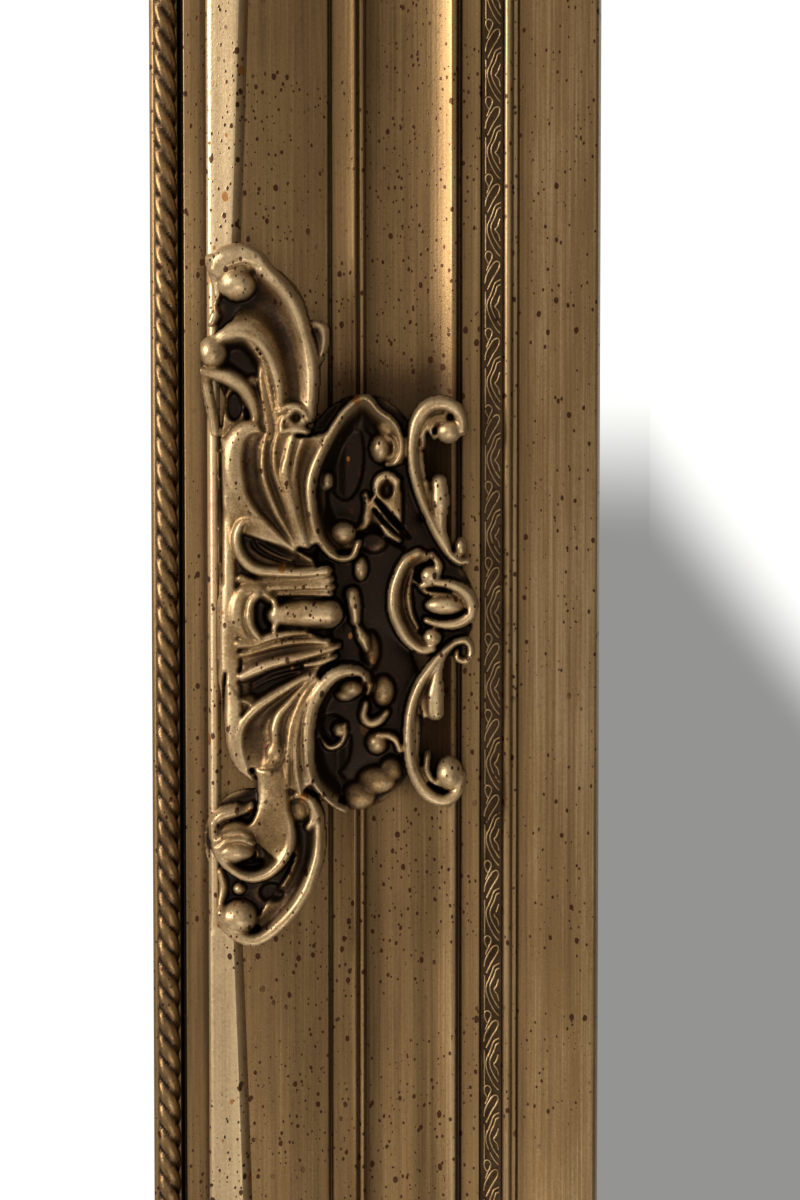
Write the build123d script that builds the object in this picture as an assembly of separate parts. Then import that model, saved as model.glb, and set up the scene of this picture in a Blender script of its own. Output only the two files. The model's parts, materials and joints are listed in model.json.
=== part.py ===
from build123d import *
import os

os.makedirs("parts", exist_ok=True)

# Full-length floor mirror: a gilded swept frame with a bevelled glass, leaning back on a folding
# easel stand that is hinged to the backs of its two stiles. Lengths are millimetres.
#
# The frame is made upright: X runs across it, -Y points out of its front face, Z runs up it, and
# y = 0 is its flat back. settle() then leans it back and stands it on the floor at z = 0.

# ---- driving dimensions -------------------------------------------------------------------------

frame_width = 620.0
frame_height = 1750.0
lean_back = 8.0  # degrees from upright
stand_opening = 16.0  # degrees between the frame and the open stand
hinge_height = 1250.0  # pin of the stand's hinges, up the frame's back

moulding_width = 97.0
sight_width = 118.5  # outer edge to sight edge
rope_seat = 28.0  # heights are above the frame's back
groove_floor = 25.6
fillet_top = 32.0
slope_top = 35.4
step_foot = 27.6
cove_floor = 24.5
inner_fillet = 26.4
lace_seat = 25.2

edge_outer = 15.3  # swept edge: straight outer side, inner side that sweeps in and out
edge_narrow = 19.3
edge_shoulder = 22.0
edge_wide = 28.0
cartouche_reach = 90.0  # half the length of a centre cartouche
corner_reach = 140.0  # length of a corner scroll along each side
ornament_root = 15.0  # ornaments start below the moulding's surface and are then bedded on it

glass_thickness = 5.0
glass_cover = 5.0  # glass hidden under the sight lip
glass_clearance = 1.0
bevel_width = 19.0
bevel_drop = 2.0
lip_underside = 17.0
rebate_floor = 8.9
felt_thickness = 2.5
board_thickness = 5.0
board_edge = 98.0
board_screw_line = 106.0

foot_height = 6.0
foot_width = 40.0
foot_offset = 230.0
foot_setback = 6.0  # how much shallower a foot is than the moulding over it

plate_arm = 90.0
plate_width = 20.0
plate_thickness = 2.5
plate_inset = 30.0

hinge_gap = 7.0  # between the frame's back and the folded stand
leaf_width = 40.0
leaf_length = 46.0
leaf_thickness = 2.0
knuckle_radius = 3.0
knuckle_half = 6.8  # half the stand leaf's knuckle
pin_radius = 1.5
pin_clearance = 0.04
turning_gap = 0.3

leg_offset = 250.0
leg_width = 45.0
leg_thickness = 22.0
leg_above_pin = 56.0
stop_gap = 0.25  # left between the leg's bevelled top and the frame's back when open
rail_width = 45.0
rail_thickness = 18.0
stand_edge_radius = 2.0
rail_drops = {"top": 80.0, "middle": 620.0, "bottom": 1080.0}  # centres, down from the pin
stand_foot_height = 8.0
stand_foot_overhang = 1.0
dowel_radius = 4.0
dowel_length = 40.0
dowel_spacing = 22.0

far = 3000.0  # larger than the whole object

half_width = frame_width / 2
half_height = frame_height / 2
pin_axis = hinge_gap / 2
glass_front = lip_underside - 0.2
glass_back = glass_front - glass_thickness
rebate_wall = sight_width - glass_cover - glass_clearance
board_front = rebate_floor - 0.1

# name: turn about the face's normal, half the side's length, half the frame across it
sides = {
    "left": (0, half_height, half_width),
    "top": (90, half_width, half_height),
    "right": (180, half_height, half_width),
    "bottom": (270, half_width, half_height),
}
moulding_names = {
    "left": "left_stile",
    "top": "top_rail",
    "right": "right_stile",
    "bottom": "bottom_rail",
}


# ---- helpers ------------------------------------------------------------------------------------


def trace(start, *steps):
    """Cross-section from (distance in, height) points; a step of two points is an arc."""
    edges = []
    here = start
    for step in steps + (start,):
        if isinstance(step[0], tuple):
            middle, end = step
            edges.append(ThreePointArc((here[0], -here[1]), (middle[0], -middle[1]), (end[0], -end[1])))
        else:
            end = step
            edges.append(Line((here[0], -here[1]), (end[0], -end[1])))
        here = end
    return make_face(edges)


def mitred(section, half_length, half_span):
    """Length of a section on the left-hand side of the frame's centre, mitred at both ends."""
    bar = Pos(-half_span, 0, -half_length) * extrude(section, amount=2 * half_length, dir=(0, 0, 1))
    inner = sight_width + 1
    trapezoid = make_face(
        Polyline(
            (-half_span, -half_length),
            (-half_span, half_length),
            (-half_span + inner, half_length - inner),
            (-half_span + inner, -half_length + inner),
            close=True,
        )
    )
    return bar & extrude(Plane.XZ * trapezoid, amount=far, both=True)


def on_side(shape, angle):
    """Turn a left-hand piece onto its own side of the frame."""
    return Pos(0, 0, half_height) * Rot(0, angle, 0) * shape


def settle(shape):
    """Lean the upright frame back and lift it onto its feet."""
    return Pos(0, 0, foot_height) * Rot(-lean_back, 0, 0) * shape


def swing_open(shape):
    """Move a stand piece, made folded with its pin on the X axis, to the open stand."""
    return settle(Pos(0, pin_axis, hinge_height) * Rot(stand_opening, 0, 0) * shape)


def countersunk_screw(length, shank=2.0, head=4.0):
    """Countersunk screw, its head flush with z = 0 and its tip down, and the hole it fills."""
    cone = head - shank
    body = Pos(0, 0, -cone / 2) * Cone(shank, head, cone)
    body += Pos(0, 0, -(length + cone) / 2) * Cylinder(shank, length - cone)
    slot = Pos(0, 0, -0.4) * Box(2 * head, 1.0, 0.8)
    return body - slot, body


def pan_screw(length, shank=1.5, head=3.5, head_height=1.8):
    """Pan-head screw, the underside of its head on z = 0 and its tip down."""
    body = Pos(0, 0, head_height / 2) * Cylinder(head, head_height)
    body = fillet(body.edges().group_by(Axis.Z)[-1], 0.8)
    body += Pos(0, 0, -length / 2) * Cylinder(shank, length)
    slot = Pos(0, 0, head_height) * Box(2 * head, 0.9, 1.2)
    return body - slot, body


def dome(radius_across, radius_along, top):
    """Tapered lobe of an ornament, its foot well below the moulding's surface."""
    taper = 0.25 * min(radius_across, radius_along)
    foot = Plane(origin=(0, -ornament_root, 0), x_dir=(1, 0, 0), z_dir=(0, -1, 0))
    crown = Plane(origin=(0, -top, 0), x_dir=(1, 0, 0), z_dir=(0, -1, 0))
    lobe = [foot * Ellipse(radius_across, radius_along)]
    lobe.append(crown * Ellipse(radius_across - taper, radius_along - taper))
    return loft(lobe, ruled=True)


# ---- cross-sections -----------------------------------------------------------------------------


def moulding_section():
    """Frame moulding, from the outer back corner round its face to the slip's wall."""
    return trace(
        (0, 0),
        (0, rope_seat - 1),
        (1, rope_seat),
        (7.4, rope_seat),  # rope seat
        (7.9, groove_floor),
        (8.8, groove_floor),
        (9.2, fillet_top + 0.3),  # outer fillet
        (edge_outer, fillet_top + 0.5),
        (16.6, slope_top),
        ((32, 33), (46.8, 28.6)),  # long slope
        (47.3, step_foot - 0.5),
        (48, step_foot + 0.2),
        ((51, step_foot + 0.6), (53.8, step_foot + 1.6)),  # small cove
        (54.4, step_foot + 1.1),
        (54.8, step_foot - 0.2),
        (55.2, step_foot + 0.9),  # fillet
        (56.2, step_foot + 0.8),
        (56.8, 26.8),
        ((68, cove_floor), (79.4, 29)),  # cove
        (80.6, 28.7),
        (81.1, 25.6),
        (81.7, 25.6),
        (82.1, inner_fillet),
        (87, inner_fillet),
        (87.2, lace_seat),  # lace seat
        (93, lace_seat),
        (93.2, 25.6),
        ((94.3, 26.8), (95.4, 25.6)),  # fine bead
        (95.6, 23.6),
        (moulding_width, 23.6),
        (moulding_width, 0),
    )


def rope_section():
    """Half-round rope that lies along the outer edge."""
    return trace((1.2, rope_seat), ((4.2, rope_seat + 3.3), (7.2, rope_seat)))


def lace_section():
    """Flat lace strip in its seat."""
    return trace((87.4, lace_seat), (87.4, lace_seat + 1.3), (92.8, lace_seat + 1.3), (92.8, lace_seat))


def slip_section():
    """Inner frieze with the sight lip and the rebate for the glass behind it."""
    return trace(
        (moulding_width, rebate_floor),
        (moulding_width, 24.8),
        (97.4, 25.2),
        (117.4, 21.8),
        ((118.2, 21.3), (sight_width, 20.4)),
        (sight_width, lip_underside),
        (rebate_wall, lip_underside),
        (rebate_wall, rebate_floor),
    )


def swept_edge(half_length, half_span):
    """Raised edge: straight outside, sweeping in and out inside, narrow beside each ornament."""
    wedge = trace(
        (edge_outer, fillet_top),
        (edge_outer, fillet_top + 3.6),
        (16.6, fillet_top + 5.0),
        (edge_wide + 1, fillet_top + 8.4),
        (edge_wide + 1, fillet_top),
    )
    bar = mitred(wedge - moulding_section(), half_length, half_span)
    sweep_start = cartouche_reach
    sweep_end = half_length - corner_reach
    sweep_middle = (sweep_start + sweep_end) / 2
    wing = [
        Line((edge_narrow, 0), (edge_narrow, sweep_start)),
        Line((edge_narrow, sweep_start), (edge_shoulder, sweep_start)),
        ThreePointArc((edge_shoulder, sweep_start), (edge_wide, sweep_middle), (edge_shoulder, sweep_end)),
        Line((edge_shoulder, sweep_end), (edge_narrow, sweep_end)),
        Line((edge_narrow, sweep_end), (edge_narrow, half_length)),
        Line((edge_narrow, half_length), (0, half_length)),
        Line((0, half_length), (0, 0)),
        Line((0, 0), (edge_narrow, 0)),
    ]
    plan = extrude(Plane.XZ * make_face(wing), amount=far, both=True)
    plan += mirror(plan, Plane.XY)
    return bar & (Pos(-half_span, 0, 0) * plan)


# ---- ornaments ----------------------------------------------------------------------------------

# distance in from the outer edge, distance up from the middle, half width, half height, top
cartouche_lobes = [
    (25.5, 82.0, 7.0, 8.5, 41.0),  # cap of the top leaf
    (31.0, 68.0, 11.5, 20.0, 42.0),
    (25.5, 60.0, 8.5, 13.0, 41.5),
    (25.0, 0.0, 5.5, 48.0, 40.0),  # backing strip beside the swept edge
    (36.8, 31.0, 12.5, 23.0, 42.0),  # upper flutes
    (54.0, 31.0, 15.0, 22.0, 40.0),  # upper scroll
    (75.0, 31.0, 10.0, 21.0, 37.0),
    (39.5, -3.5, 17.5, 10.5, 42.0),  # barrel
    (58.0, -1.0, 22.0, 26.0, 37.0),
    (75.0, -1.5, 10.0, 21.0, 37.0),
    (36.8, -32.0, 13.0, 23.0, 42.0),  # lower flutes
    (54.0, -36.0, 16.0, 20.0, 40.0),  # lower scroll
    (73.5, -33.0, 11.5, 21.0, 37.0),
    (28.0, -63.0, 10.5, 13.0, 41.0),  # shell
    (35.0, -62.0, 11.0, 23.0, 40.0),
    (27.5, -82.0, 8.0, 8.5, 41.0),  # tail
]

# distances in from the two outer edges, half sizes along them, top; each arm is made both ways
corner_lobes = [
    (40.0, 40.0, 23.0, 23.0, 43.0),
    (60.0, 60.0, 16.0, 16.0, 37.0),
    (31.0, 78.0, 11.0, 26.0, 42.0),
    (54.0, 76.0, 13.0, 18.0, 38.0),
    (74.0, 74.0, 9.0, 9.0, 35.0),
    (29.0, 108.0, 9.0, 18.0, 41.0),
    (26.0, 128.0, 7.0, 10.0, 40.0),
]


def cartouche(half_span):
    """Centre cartouche, fused from its lobes."""
    body = Part()
    for across, along, half_across, half_along, top in cartouche_lobes:
        body += Pos(across - half_span, 0, along) * dome(half_across, half_along, top)
    return body


def corner_scroll(left_right, up_down):
    """Corner scroll over one mitre; left_right and up_down are -1 or 1."""
    body = Part()
    for first, second, half_first, half_second, top in corner_lobes:
        for flipped in (False, True):
            across, along = (second, first) if flipped else (first, second)
            size = (half_second, half_first) if flipped else (half_first, half_second)
            x = left_right * (half_width - across)
            z = half_height + up_down * (half_height - along)
            place = Pos(x, 0, z)
            body += place * dome(size[0], size[1], top)
    return body


# ---- glass and back -----------------------------------------------------------------------------


def panel(edge, height_from, height_to):
    """Flat panel whose edge lies a given distance in from the frame's outer edge."""
    size = (frame_width - 2 * edge, height_to - height_from, frame_height - 2 * edge)
    return Pos(0, -(height_from + height_to) / 2, half_height) * Box(*size)


def mirror_glass():
    """Bevelled glass: a flat back slab under a shallow pyramid frustum."""
    edge = sight_width - glass_cover
    slab = panel(edge, glass_back, glass_front - bevel_drop)
    wide = Rectangle(frame_width - 2 * edge, frame_height - 2 * edge)
    inset = edge + bevel_width
    narrow = Rectangle(frame_width - 2 * inset, frame_height - 2 * inset)
    base = Plane(origin=(0, -(glass_front - bevel_drop), half_height), x_dir=(1, 0, 0), z_dir=(0, -1, 0))
    front = Plane(origin=(0, -glass_front, half_height), x_dir=(1, 0, 0), z_dir=(0, -1, 0))
    return slab + loft([base * wide, front * narrow], ruled=True)


def rebate_pads():
    """Thin pads that centre the glass in its rebate, two on each side."""
    edge = sight_width - glass_cover
    depth = glass_thickness - bevel_drop
    pads = []
    for angle, half_length, half_span in sides.values():
        for along in (-0.5 * half_length, 0.5 * half_length):
            pad = Box(glass_clearance, depth, 30)
            centre = Pos(edge - glass_clearance / 2 - half_span, -(glass_back + depth / 2), along)
            pads.append(on_side(centre * pad, angle))
    return pads


def board_screws():
    """Pan-head screws round the back board, as (screws, holes)."""
    screw, hole = pan_screw(12)
    screws, holes = [], []
    for angle, half_length, half_span in sides.values():
        count = 6 if half_length > half_span else 3
        run = 2 * (half_length - board_screw_line) - 120
        for step in range(count):
            along = run * (step / (count - 1) - 0.5)
            place = Pos(board_screw_line - half_span, -(board_front - board_thickness), along)
            screws.append(on_side(place * Rot(-90, 0, 0) * screw, angle))
            holes.append(on_side(place * Rot(-90, 0, 0) * hole, angle))
    return screws, holes


def corner_plates():
    """Flat steel angles across the back of each mitre, as (plates, screws, holes)."""
    screw, hole = countersunk_screw(20)
    plates, screws, holes = [], [], []
    for left_right in (-1, 1):
        for up_down in (-1, 1):
            corner = Pos(left_right * (half_width - plate_inset), plate_thickness / 2,
                         half_height + up_down * (half_height - plate_inset))
            shift = (plate_arm - plate_width) / 2
            across = Pos(-left_right * shift, 0, 0) * Box(plate_arm, plate_thickness, plate_width)
            along = Pos(0, 0, -up_down * shift) * Box(plate_width, plate_thickness, plate_arm)
            plate = across + along
            for distance in (28.0, 68.0):
                for spot in (Pos(-left_right * distance, 0, 0), Pos(0, 0, -up_down * distance)):
                    place = corner * spot * Pos(0, plate_thickness / 2, 0) * Rot(-90, 0, 0)
                    screws.append(place * screw)
                    holes.append(place * hole)
            plates.append(corner * plate)
    return [plate - holes for plate in plates], screws, holes


# ---- hinges, made about the pin's axis ----------------------------------------------------------


def pin_bar(radius, half):
    """Bar along the pin's axis."""
    return Rot(0, 90, 0) * Cylinder(radius, 2 * half)


def frame_leaf():
    """Leaf on the frame's back with the two outer knuckles."""
    leaf = Box(leaf_width, leaf_thickness, leaf_length)
    leaf = Pos(0, -pin_axis + leaf_thickness / 2, -leaf_length / 2) * leaf
    leaf += pin_bar(knuckle_radius, leaf_width / 2)
    leaf -= pin_bar(knuckle_radius + turning_gap, knuckle_half + 0.2)
    return leaf - pin_bar(pin_radius + pin_clearance, leaf_width)


def stand_leaf():
    """Leaf on the leg's front with the middle knuckle."""
    leaf = Box(leaf_width, leaf_thickness, leaf_length)
    leaf = Pos(0, pin_axis - leaf_thickness / 2, -leaf_length / 2) * leaf
    outer = pin_bar(knuckle_radius + turning_gap, leaf_width / 2 + 1) - pin_bar(far, knuckle_half)
    leaf -= outer
    leaf += pin_bar(knuckle_radius, knuckle_half)
    return leaf - pin_bar(pin_radius + pin_clearance, leaf_width)


def hinge_pin():
    """Pin with a riveted head outside each end knuckle."""
    pin = pin_bar(pin_radius, leaf_width / 2 + 1)
    for end in (-1, 1):
        pin += Pos(end * (leaf_width / 2 + 0.8), 0, 0) * pin_bar(2.4, 0.6)
    return pin


def leaf_screw_spots():
    """Screw places on a leaf, across it and down from the pin."""
    return [(-13.0, -14.0), (13.0, -14.0), (0.0, -26.0), (-13.0, -38.0), (13.0, -38.0)]


# ---- stand, made folded with its pin on the X axis ----------------------------------------------


def leg_blank(margin=0.0):
    """Straight leg, long enough to be cut at the floor."""
    height = hinge_height + leg_above_pin + 100
    blank = Box(leg_width + 2 * margin, leg_thickness + 2 * margin, height)
    blank = fillet(blank.edges().filter_by(Axis.Z), stand_edge_radius)
    return Pos(0, pin_axis + leg_thickness / 2, leg_above_pin - height / 2) * blank


def stand_rail(drop):
    """Cross rail between the legs."""
    length = 2 * leg_offset - leg_width
    rail = Box(length, rail_thickness, rail_width)
    rail = fillet(rail.edges().filter_by(Axis.X), stand_edge_radius)
    return Pos(0, pin_axis + leg_thickness / 2, -drop) * rail


def stand_dowels():
    """Two dowels at each end of each cross rail."""
    dowels = []
    for drop in rail_drops.values():
        for end in (-1, 1):
            for row in (-1, 1):
                place = Pos(end * (leg_offset - leg_width / 2), pin_axis + leg_thickness / 2,
                            row * dowel_spacing / 2 - drop)
                dowels.append(place * Rot(0, 90, 0) * Cylinder(dowel_radius, dowel_length))
    return dowels


def level(low, high):
    """Slab of the room between two heights above the floor."""
    return Pos(0, 0, (low + high) / 2) * Box(far, far, high - low)


# ---- assembly -----------------------------------------------------------------------------------

nodes = {}

plates, plate_screws, plate_holes = corner_plates()
back_screws, back_holes = board_screws()
leaf_screw, leaf_hole = countersunk_screw(16)

frame_leaf_screws = []
frame_leaf_holes = []
for side in (-1, 1):
    for across, down in leaf_screw_spots():
        place = Pos(side * leg_offset + across, leaf_thickness, hinge_height + down) * Rot(-90, 0, 0)
        frame_leaf_screws.append(place * leaf_screw)
        frame_leaf_holes.append(place * leaf_hole)

mouldings = {}
edges = {}
for name, (angle, half_length, half_span) in sides.items():
    mouldings[name] = on_side(mitred(moulding_section(), half_length, half_span), angle)
    edges[name] = on_side(swept_edge(half_length, half_span), angle)
    nodes[moulding_names[name]] = mouldings[name] - (plate_holes + frame_leaf_holes)
    nodes[name + "_swept_edge"] = edges[name]
    nodes[name + "_rope"] = on_side(mitred(rope_section(), half_length, half_span), angle)
    nodes[name + "_lace"] = on_side(mitred(lace_section(), half_length, half_span), angle)
    nodes[name + "_slip"] = on_side(mitred(slip_section(), half_length, half_span), angle) - back_holes
    nodes[name + "_cartouche"] = on_side(cartouche(half_span), angle) - [mouldings[name], edges[name]]

for up_down, rail in ((1, "top"), (-1, "bottom")):
    for left_right, stile in ((-1, "left"), (1, "right")):
        bedded_on = [mouldings[rail], mouldings[stile], edges[rail], edges[stile]]
        nodes[rail + "_" + stile + "_corner_scroll"] = corner_scroll(left_right, up_down) - bedded_on

nodes["mirror_glass"] = mirror_glass()
nodes["rebate_pads"] = Compound(rebate_pads())
nodes["backing_felt"] = panel(sight_width - glass_cover, glass_back - felt_thickness, glass_back)
nodes["back_board"] = panel(board_edge, board_front - board_thickness, board_front) - back_holes
nodes["back_board_screws"] = Compound(back_screws)
nodes["corner_plates"] = Compound(plates)
nodes["corner_plate_screws"] = Compound(plate_screws)
nodes["frame_leaf_screws"] = Compound(frame_leaf_screws)
for side, name in ((-1, "left"), (1, "right")):
    hinge = Pos(side * leg_offset, pin_axis, hinge_height)
    nodes[name + "_frame_leaf"] = hinge * frame_leaf() - frame_leaf_holes
    nodes[name + "_hinge_pin"] = hinge * hinge_pin()

nodes = {name: settle(shape) for name, shape in nodes.items()}

for side, name in ((-1, "left"), (1, "right")):
    block = Box(foot_width, rope_seat - foot_setback, 2 * foot_height)
    block = Pos(side * foot_offset, -rope_seat / 2, -foot_height) * block
    nodes[name + "_frame_foot"] = (settle(block) & level(0, far)) - nodes["bottom_rail"]

stand_leaf_screws = []
stand_leaf_holes = []
for side in (-1, 1):
    for across, down in leaf_screw_spots():
        place = Pos(side * leg_offset + across, pin_axis - leaf_thickness, down) * Rot(90, 0, 0)
        stand_leaf_screws.append(place * leaf_screw)
        stand_leaf_holes.append(place * leaf_hole)

dowels = stand_dowels()
frame_back = settle(Pos(0, stop_gap - far / 2, 0) * Box(far, far, far))
for side, name in ((-1, "left"), (1, "right")):
    leg = swing_open(Pos(side * leg_offset, 0, 0) * leg_blank() - (dowels + stand_leaf_holes))
    nodes[name + "_leg"] = (leg - frame_back) & level(stand_foot_height, far)
    foot = swing_open(Pos(side * leg_offset, 0, 0) * leg_blank(stand_foot_overhang))
    nodes[name + "_stand_foot"] = foot & level(0, stand_foot_height)
    leaf = Pos(side * leg_offset, 0, 0) * stand_leaf()
    nodes[name + "_stand_leaf"] = swing_open(leaf - stand_leaf_holes)
for name, drop in rail_drops.items():
    nodes["stand_" + name + "_rail"] = swing_open(stand_rail(drop) - dowels)
nodes["stand_dowels"] = swing_open(Compound(dowels))
nodes["stand_leaf_screws"] = swing_open(Compound(stand_leaf_screws))

# The origin is on the floor under the middle of the whole mirror, front to back.
reach = Compound([Compound(shape.solids()) for shape in nodes.values()]).bounding_box()
middle = Pos(0, -(reach.min.Y + reach.max.Y) / 2, 0)
for name, shape in nodes.items():
    export_step(Compound((middle * shape).solids()), "parts/" + name + ".step")

pin_centre = (middle * swing_open(Pos(0, 0, 0) * Box(1, 1, 1))).center()
print("hinge pin's middle", [round(value, 4) for value in pin_centre])
for name in ("left_frame_foot", "left_stand_foot"):
    base = (middle * nodes[name]).faces().sort_by(Axis.Z)[0].center()
    print(name, "rests at", [round(value, 4) for value in base])
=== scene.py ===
import json
import math

import bmesh
import bpy
import numpy as np
from mathutils import Matrix, Vector


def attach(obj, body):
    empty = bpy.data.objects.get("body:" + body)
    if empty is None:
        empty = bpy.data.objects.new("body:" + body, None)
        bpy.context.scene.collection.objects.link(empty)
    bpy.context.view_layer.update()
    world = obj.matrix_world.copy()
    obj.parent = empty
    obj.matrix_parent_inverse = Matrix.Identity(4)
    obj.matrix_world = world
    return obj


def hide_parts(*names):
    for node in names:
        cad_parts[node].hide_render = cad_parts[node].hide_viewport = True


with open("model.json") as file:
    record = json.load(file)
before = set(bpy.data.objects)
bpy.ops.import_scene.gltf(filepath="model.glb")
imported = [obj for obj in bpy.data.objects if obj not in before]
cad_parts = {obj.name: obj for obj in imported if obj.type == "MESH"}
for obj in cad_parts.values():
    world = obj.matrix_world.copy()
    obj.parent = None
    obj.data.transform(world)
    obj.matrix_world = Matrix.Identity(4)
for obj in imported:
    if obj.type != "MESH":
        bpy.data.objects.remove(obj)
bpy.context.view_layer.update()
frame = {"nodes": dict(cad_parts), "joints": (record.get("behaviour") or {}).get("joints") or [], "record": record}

# A full-length mirror in a swept gilded frame. Each side of the frame is built in its own side
# space, in millimetres: u runs in from the outer edge, s along the side from its middle, and h
# forward from the frame's flat back. place_on_side() puts a piece on its side, in metres.

MM = 0.001
FRAME_WIDTH = 620.0
FRAME_HEIGHT = 1750.0
LEAN_BACK = math.radians(8.0)
HINGE_HEIGHT = 1250.0
PIN_DEPTH = 3.5
FOOT_HEIGHT = 6.0

SWEEP_START = 90.0
CORNER_REACH = 140.0
EDGE_OUTER = 15.3  # swept edge: its outer side, then its inner side beside and between ornaments
EDGE_NARROW = 18.3
EDGE_SHOULDER = 22.0
EDGE_WIDE = 28.0
LACE_MITRE = 90.0  # the lace's distance in, so its mitred ends stop this far short of the corner
ORNAMENT_ROOT = 15.0
FLOOR_RADIUS = 1.55  # metres

# side: turn about the face's normal, half its length, half the frame across it
SIDES = {
    "left": (0, FRAME_HEIGHT / 2, FRAME_WIDTH / 2),
    "top": (90, FRAME_WIDTH / 2, FRAME_HEIGHT / 2),
    "right": (180, FRAME_HEIGHT / 2, FRAME_WIDTH / 2),
    "bottom": (270, FRAME_WIDTH / 2, FRAME_HEIGHT / 2),
}
MOULDING_NODES = {"left": "left_stile", "top": "top_rail", "right": "right_stile", "bottom": "bottom_rail"}

# ---- places -------------------------------------------------------------------------------------

pin = next(joint for joint in frame["joints"] if joint["name"] == "stand_fold")["pos_m"]
pin_setback = (PIN_DEPTH * math.cos(LEAN_BACK) + HINGE_HEIGHT * math.sin(LEAN_BACK)) * MM
SETTLE = Matrix.Translation((0, pin[1] - pin_setback, FOOT_HEIGHT * MM)) @ Matrix.Rotation(-LEAN_BACK, 4, "X")


def side_matrix(side):
    """Side space, already in metres with x = u, y = -h and z = s, to the standing frame."""
    angle, _, half_span = SIDES[side]
    centre = Matrix.Translation((0, 0, FRAME_HEIGHT / 2 * MM))
    turned = Matrix.Rotation(math.radians(angle), 4, "Y")
    return SETTLE @ centre @ turned @ Matrix.Translation((-half_span * MM, 0, 0))


# ---- mesh helpers -------------------------------------------------------------------------------


def build(name, points, faces, material, attributes=None, sharp=40.0):
    """Mesh from (u, s, h) points in millimetres and faces, smooth but for sharp edges, facing out."""
    points = np.asarray(points, float)
    mesh = bpy.data.meshes.new(name)
    mesh.from_pydata(np.column_stack((points[:, 0], -points[:, 2], points[:, 1])) * MM, [], faces)
    for key, values in (attributes or {}).items():
        layer = mesh.attributes.new(key, "FLOAT", "POINT")
        layer.data.foreach_set("value", np.asarray(values, np.float32))
    shape = bmesh.new()
    shape.from_mesh(mesh)
    bmesh.ops.recalc_face_normals(shape, faces=shape.faces)
    shape.to_mesh(mesh)
    shape.free()
    mesh.shade_smooth()
    mesh.set_sharp_from_angle(angle=math.radians(sharp))
    mesh.materials.append(material)
    return mesh


def loft(rings, size, first=0):
    """Faces of a closed tube of rings of the same number of points, capped at both ends."""
    faces = []
    for row in range(rings - 1):
        for index in range(size):
            following = (index + 1) % size
            low, high = first + row * size, first + (row + 1) * size
            faces.append((low + index, low + following, high + following, high + index))
    last = first + (rings - 1) * size
    faces.append(tuple(range(first, first + size))[::-1])
    faces.append(tuple(range(last, last + size)))
    return faces


def place_on_side(name, mesh, side, node):
    """Object for a mesh in side space, riding on the mirror's frame in place of a CAD node."""
    piece = bpy.data.objects.new(name, mesh)
    bpy.context.scene.collection.objects.link(piece)
    piece.matrix_world = side_matrix(side)
    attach(piece, "mirror_frame")
    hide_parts(node)
    return piece


def trace(*steps, arc_step=0.35):
    """Outline from (u, h) points; a step of two points is an arc through the first to the second."""
    points = [np.array(steps[0], float)]
    for step in steps[1:]:
        if not isinstance(step[0], tuple):
            points.append(np.array(step, float))
            continue
        start, middle, end = points[-1], np.array(step[0], float), np.array(step[1], float)
        first, second = middle - start, end - start
        cross = 2 * (first[0] * second[1] - first[1] * second[0])
        lengths = first @ first, second @ second
        centre = start + np.array([second[1] * lengths[0] - first[1] * lengths[1],
                                   first[0] * lengths[1] - second[0] * lengths[0]]) / cross
        radius = np.linalg.norm(start - centre)
        begin, via, stop = (math.atan2(*(point - centre)[::-1]) for point in (start, middle, end))
        turn = (stop - begin) % (2 * math.pi)
        if (via - begin) % (2 * math.pi) > turn:
            turn -= 2 * math.pi
        count = max(4, int(abs(turn) * radius / arc_step))
        for index in range(1, count + 1):
            angle = begin + turn * index / count
            points.append(centre + radius * np.array([math.cos(angle), math.sin(angle)]))
    return np.array(points)


def softened(outline, radius=0.35):
    """The closed outline with each hard corner rounded."""
    result = []
    count = len(outline)
    for index, corner in enumerate(outline):
        before, after = outline[index - 1] - corner, outline[(index + 1) % count] - corner
        sizes = np.linalg.norm(before), np.linalg.norm(after)
        turn = math.pi - math.acos(np.clip(before @ after / (sizes[0] * sizes[1]), -1, 1))
        if turn < math.radians(20):
            result.append(corner)
            continue
        start = corner + before / sizes[0] * min(radius, 0.4 * sizes[0])
        end = corner + after / sizes[1] * min(radius, 0.4 * sizes[1])
        for share in (0, 0.33, 0.67, 1):
            result.append((1 - share) ** 2 * start + 2 * share * (1 - share) * corner + share ** 2 * end)
    return np.array(result)


def front_of(outline, across):
    """Highest point of a closed section at each distance across."""
    heights = np.zeros(len(across))
    for index in range(len(outline)):
        (u0, h0), (u1, h1) = outline[index - 1], outline[index]
        inside = (across >= min(u0, u1)) & (across <= max(u0, u1))
        if abs(u1 - u0) > 1e-6:
            line = h0 + (across[inside] - u0) / (u1 - u0) * (h1 - h0)
            heights[inside] = np.maximum(heights[inside], line)
    return heights


def hollow_across(outline, reach=1.6):
    """How far each point of a moulding's section lies below its surroundings, in millimetres."""
    across = np.arange(-4, 124, 0.1)
    heights = front_of(outline, across)
    kernel = np.exp(-0.5 * (np.arange(-40, 41) * 0.1 / reach) ** 2)
    mean = np.convolve(heights, kernel / kernel.sum(), mode="same")
    return np.interp(outline[:, 0], across, mean) - outline[:, 1]


def extruded(name, outline, half_length, material, backing):
    """Mitred length of a closed section, with its own material on the back."""
    points = [(u, end * (half_length - u), h) for end in (-1, 1) for u, h in outline]
    hollow = np.tile(hollow_across(outline), 2)
    mesh = build(name, points, loft(2, len(outline)), material, {"hollow": hollow}, sharp=55)
    mesh.materials.append(backing)
    depth = min(outline[:, 1]) + 0.5
    for face in mesh.polygons:
        if all(-mesh.vertices[index].co.y < depth * MM for index in face.vertices):
            face.material_index = 1
    return mesh


# ---- materials ----------------------------------------------------------------------------------


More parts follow.
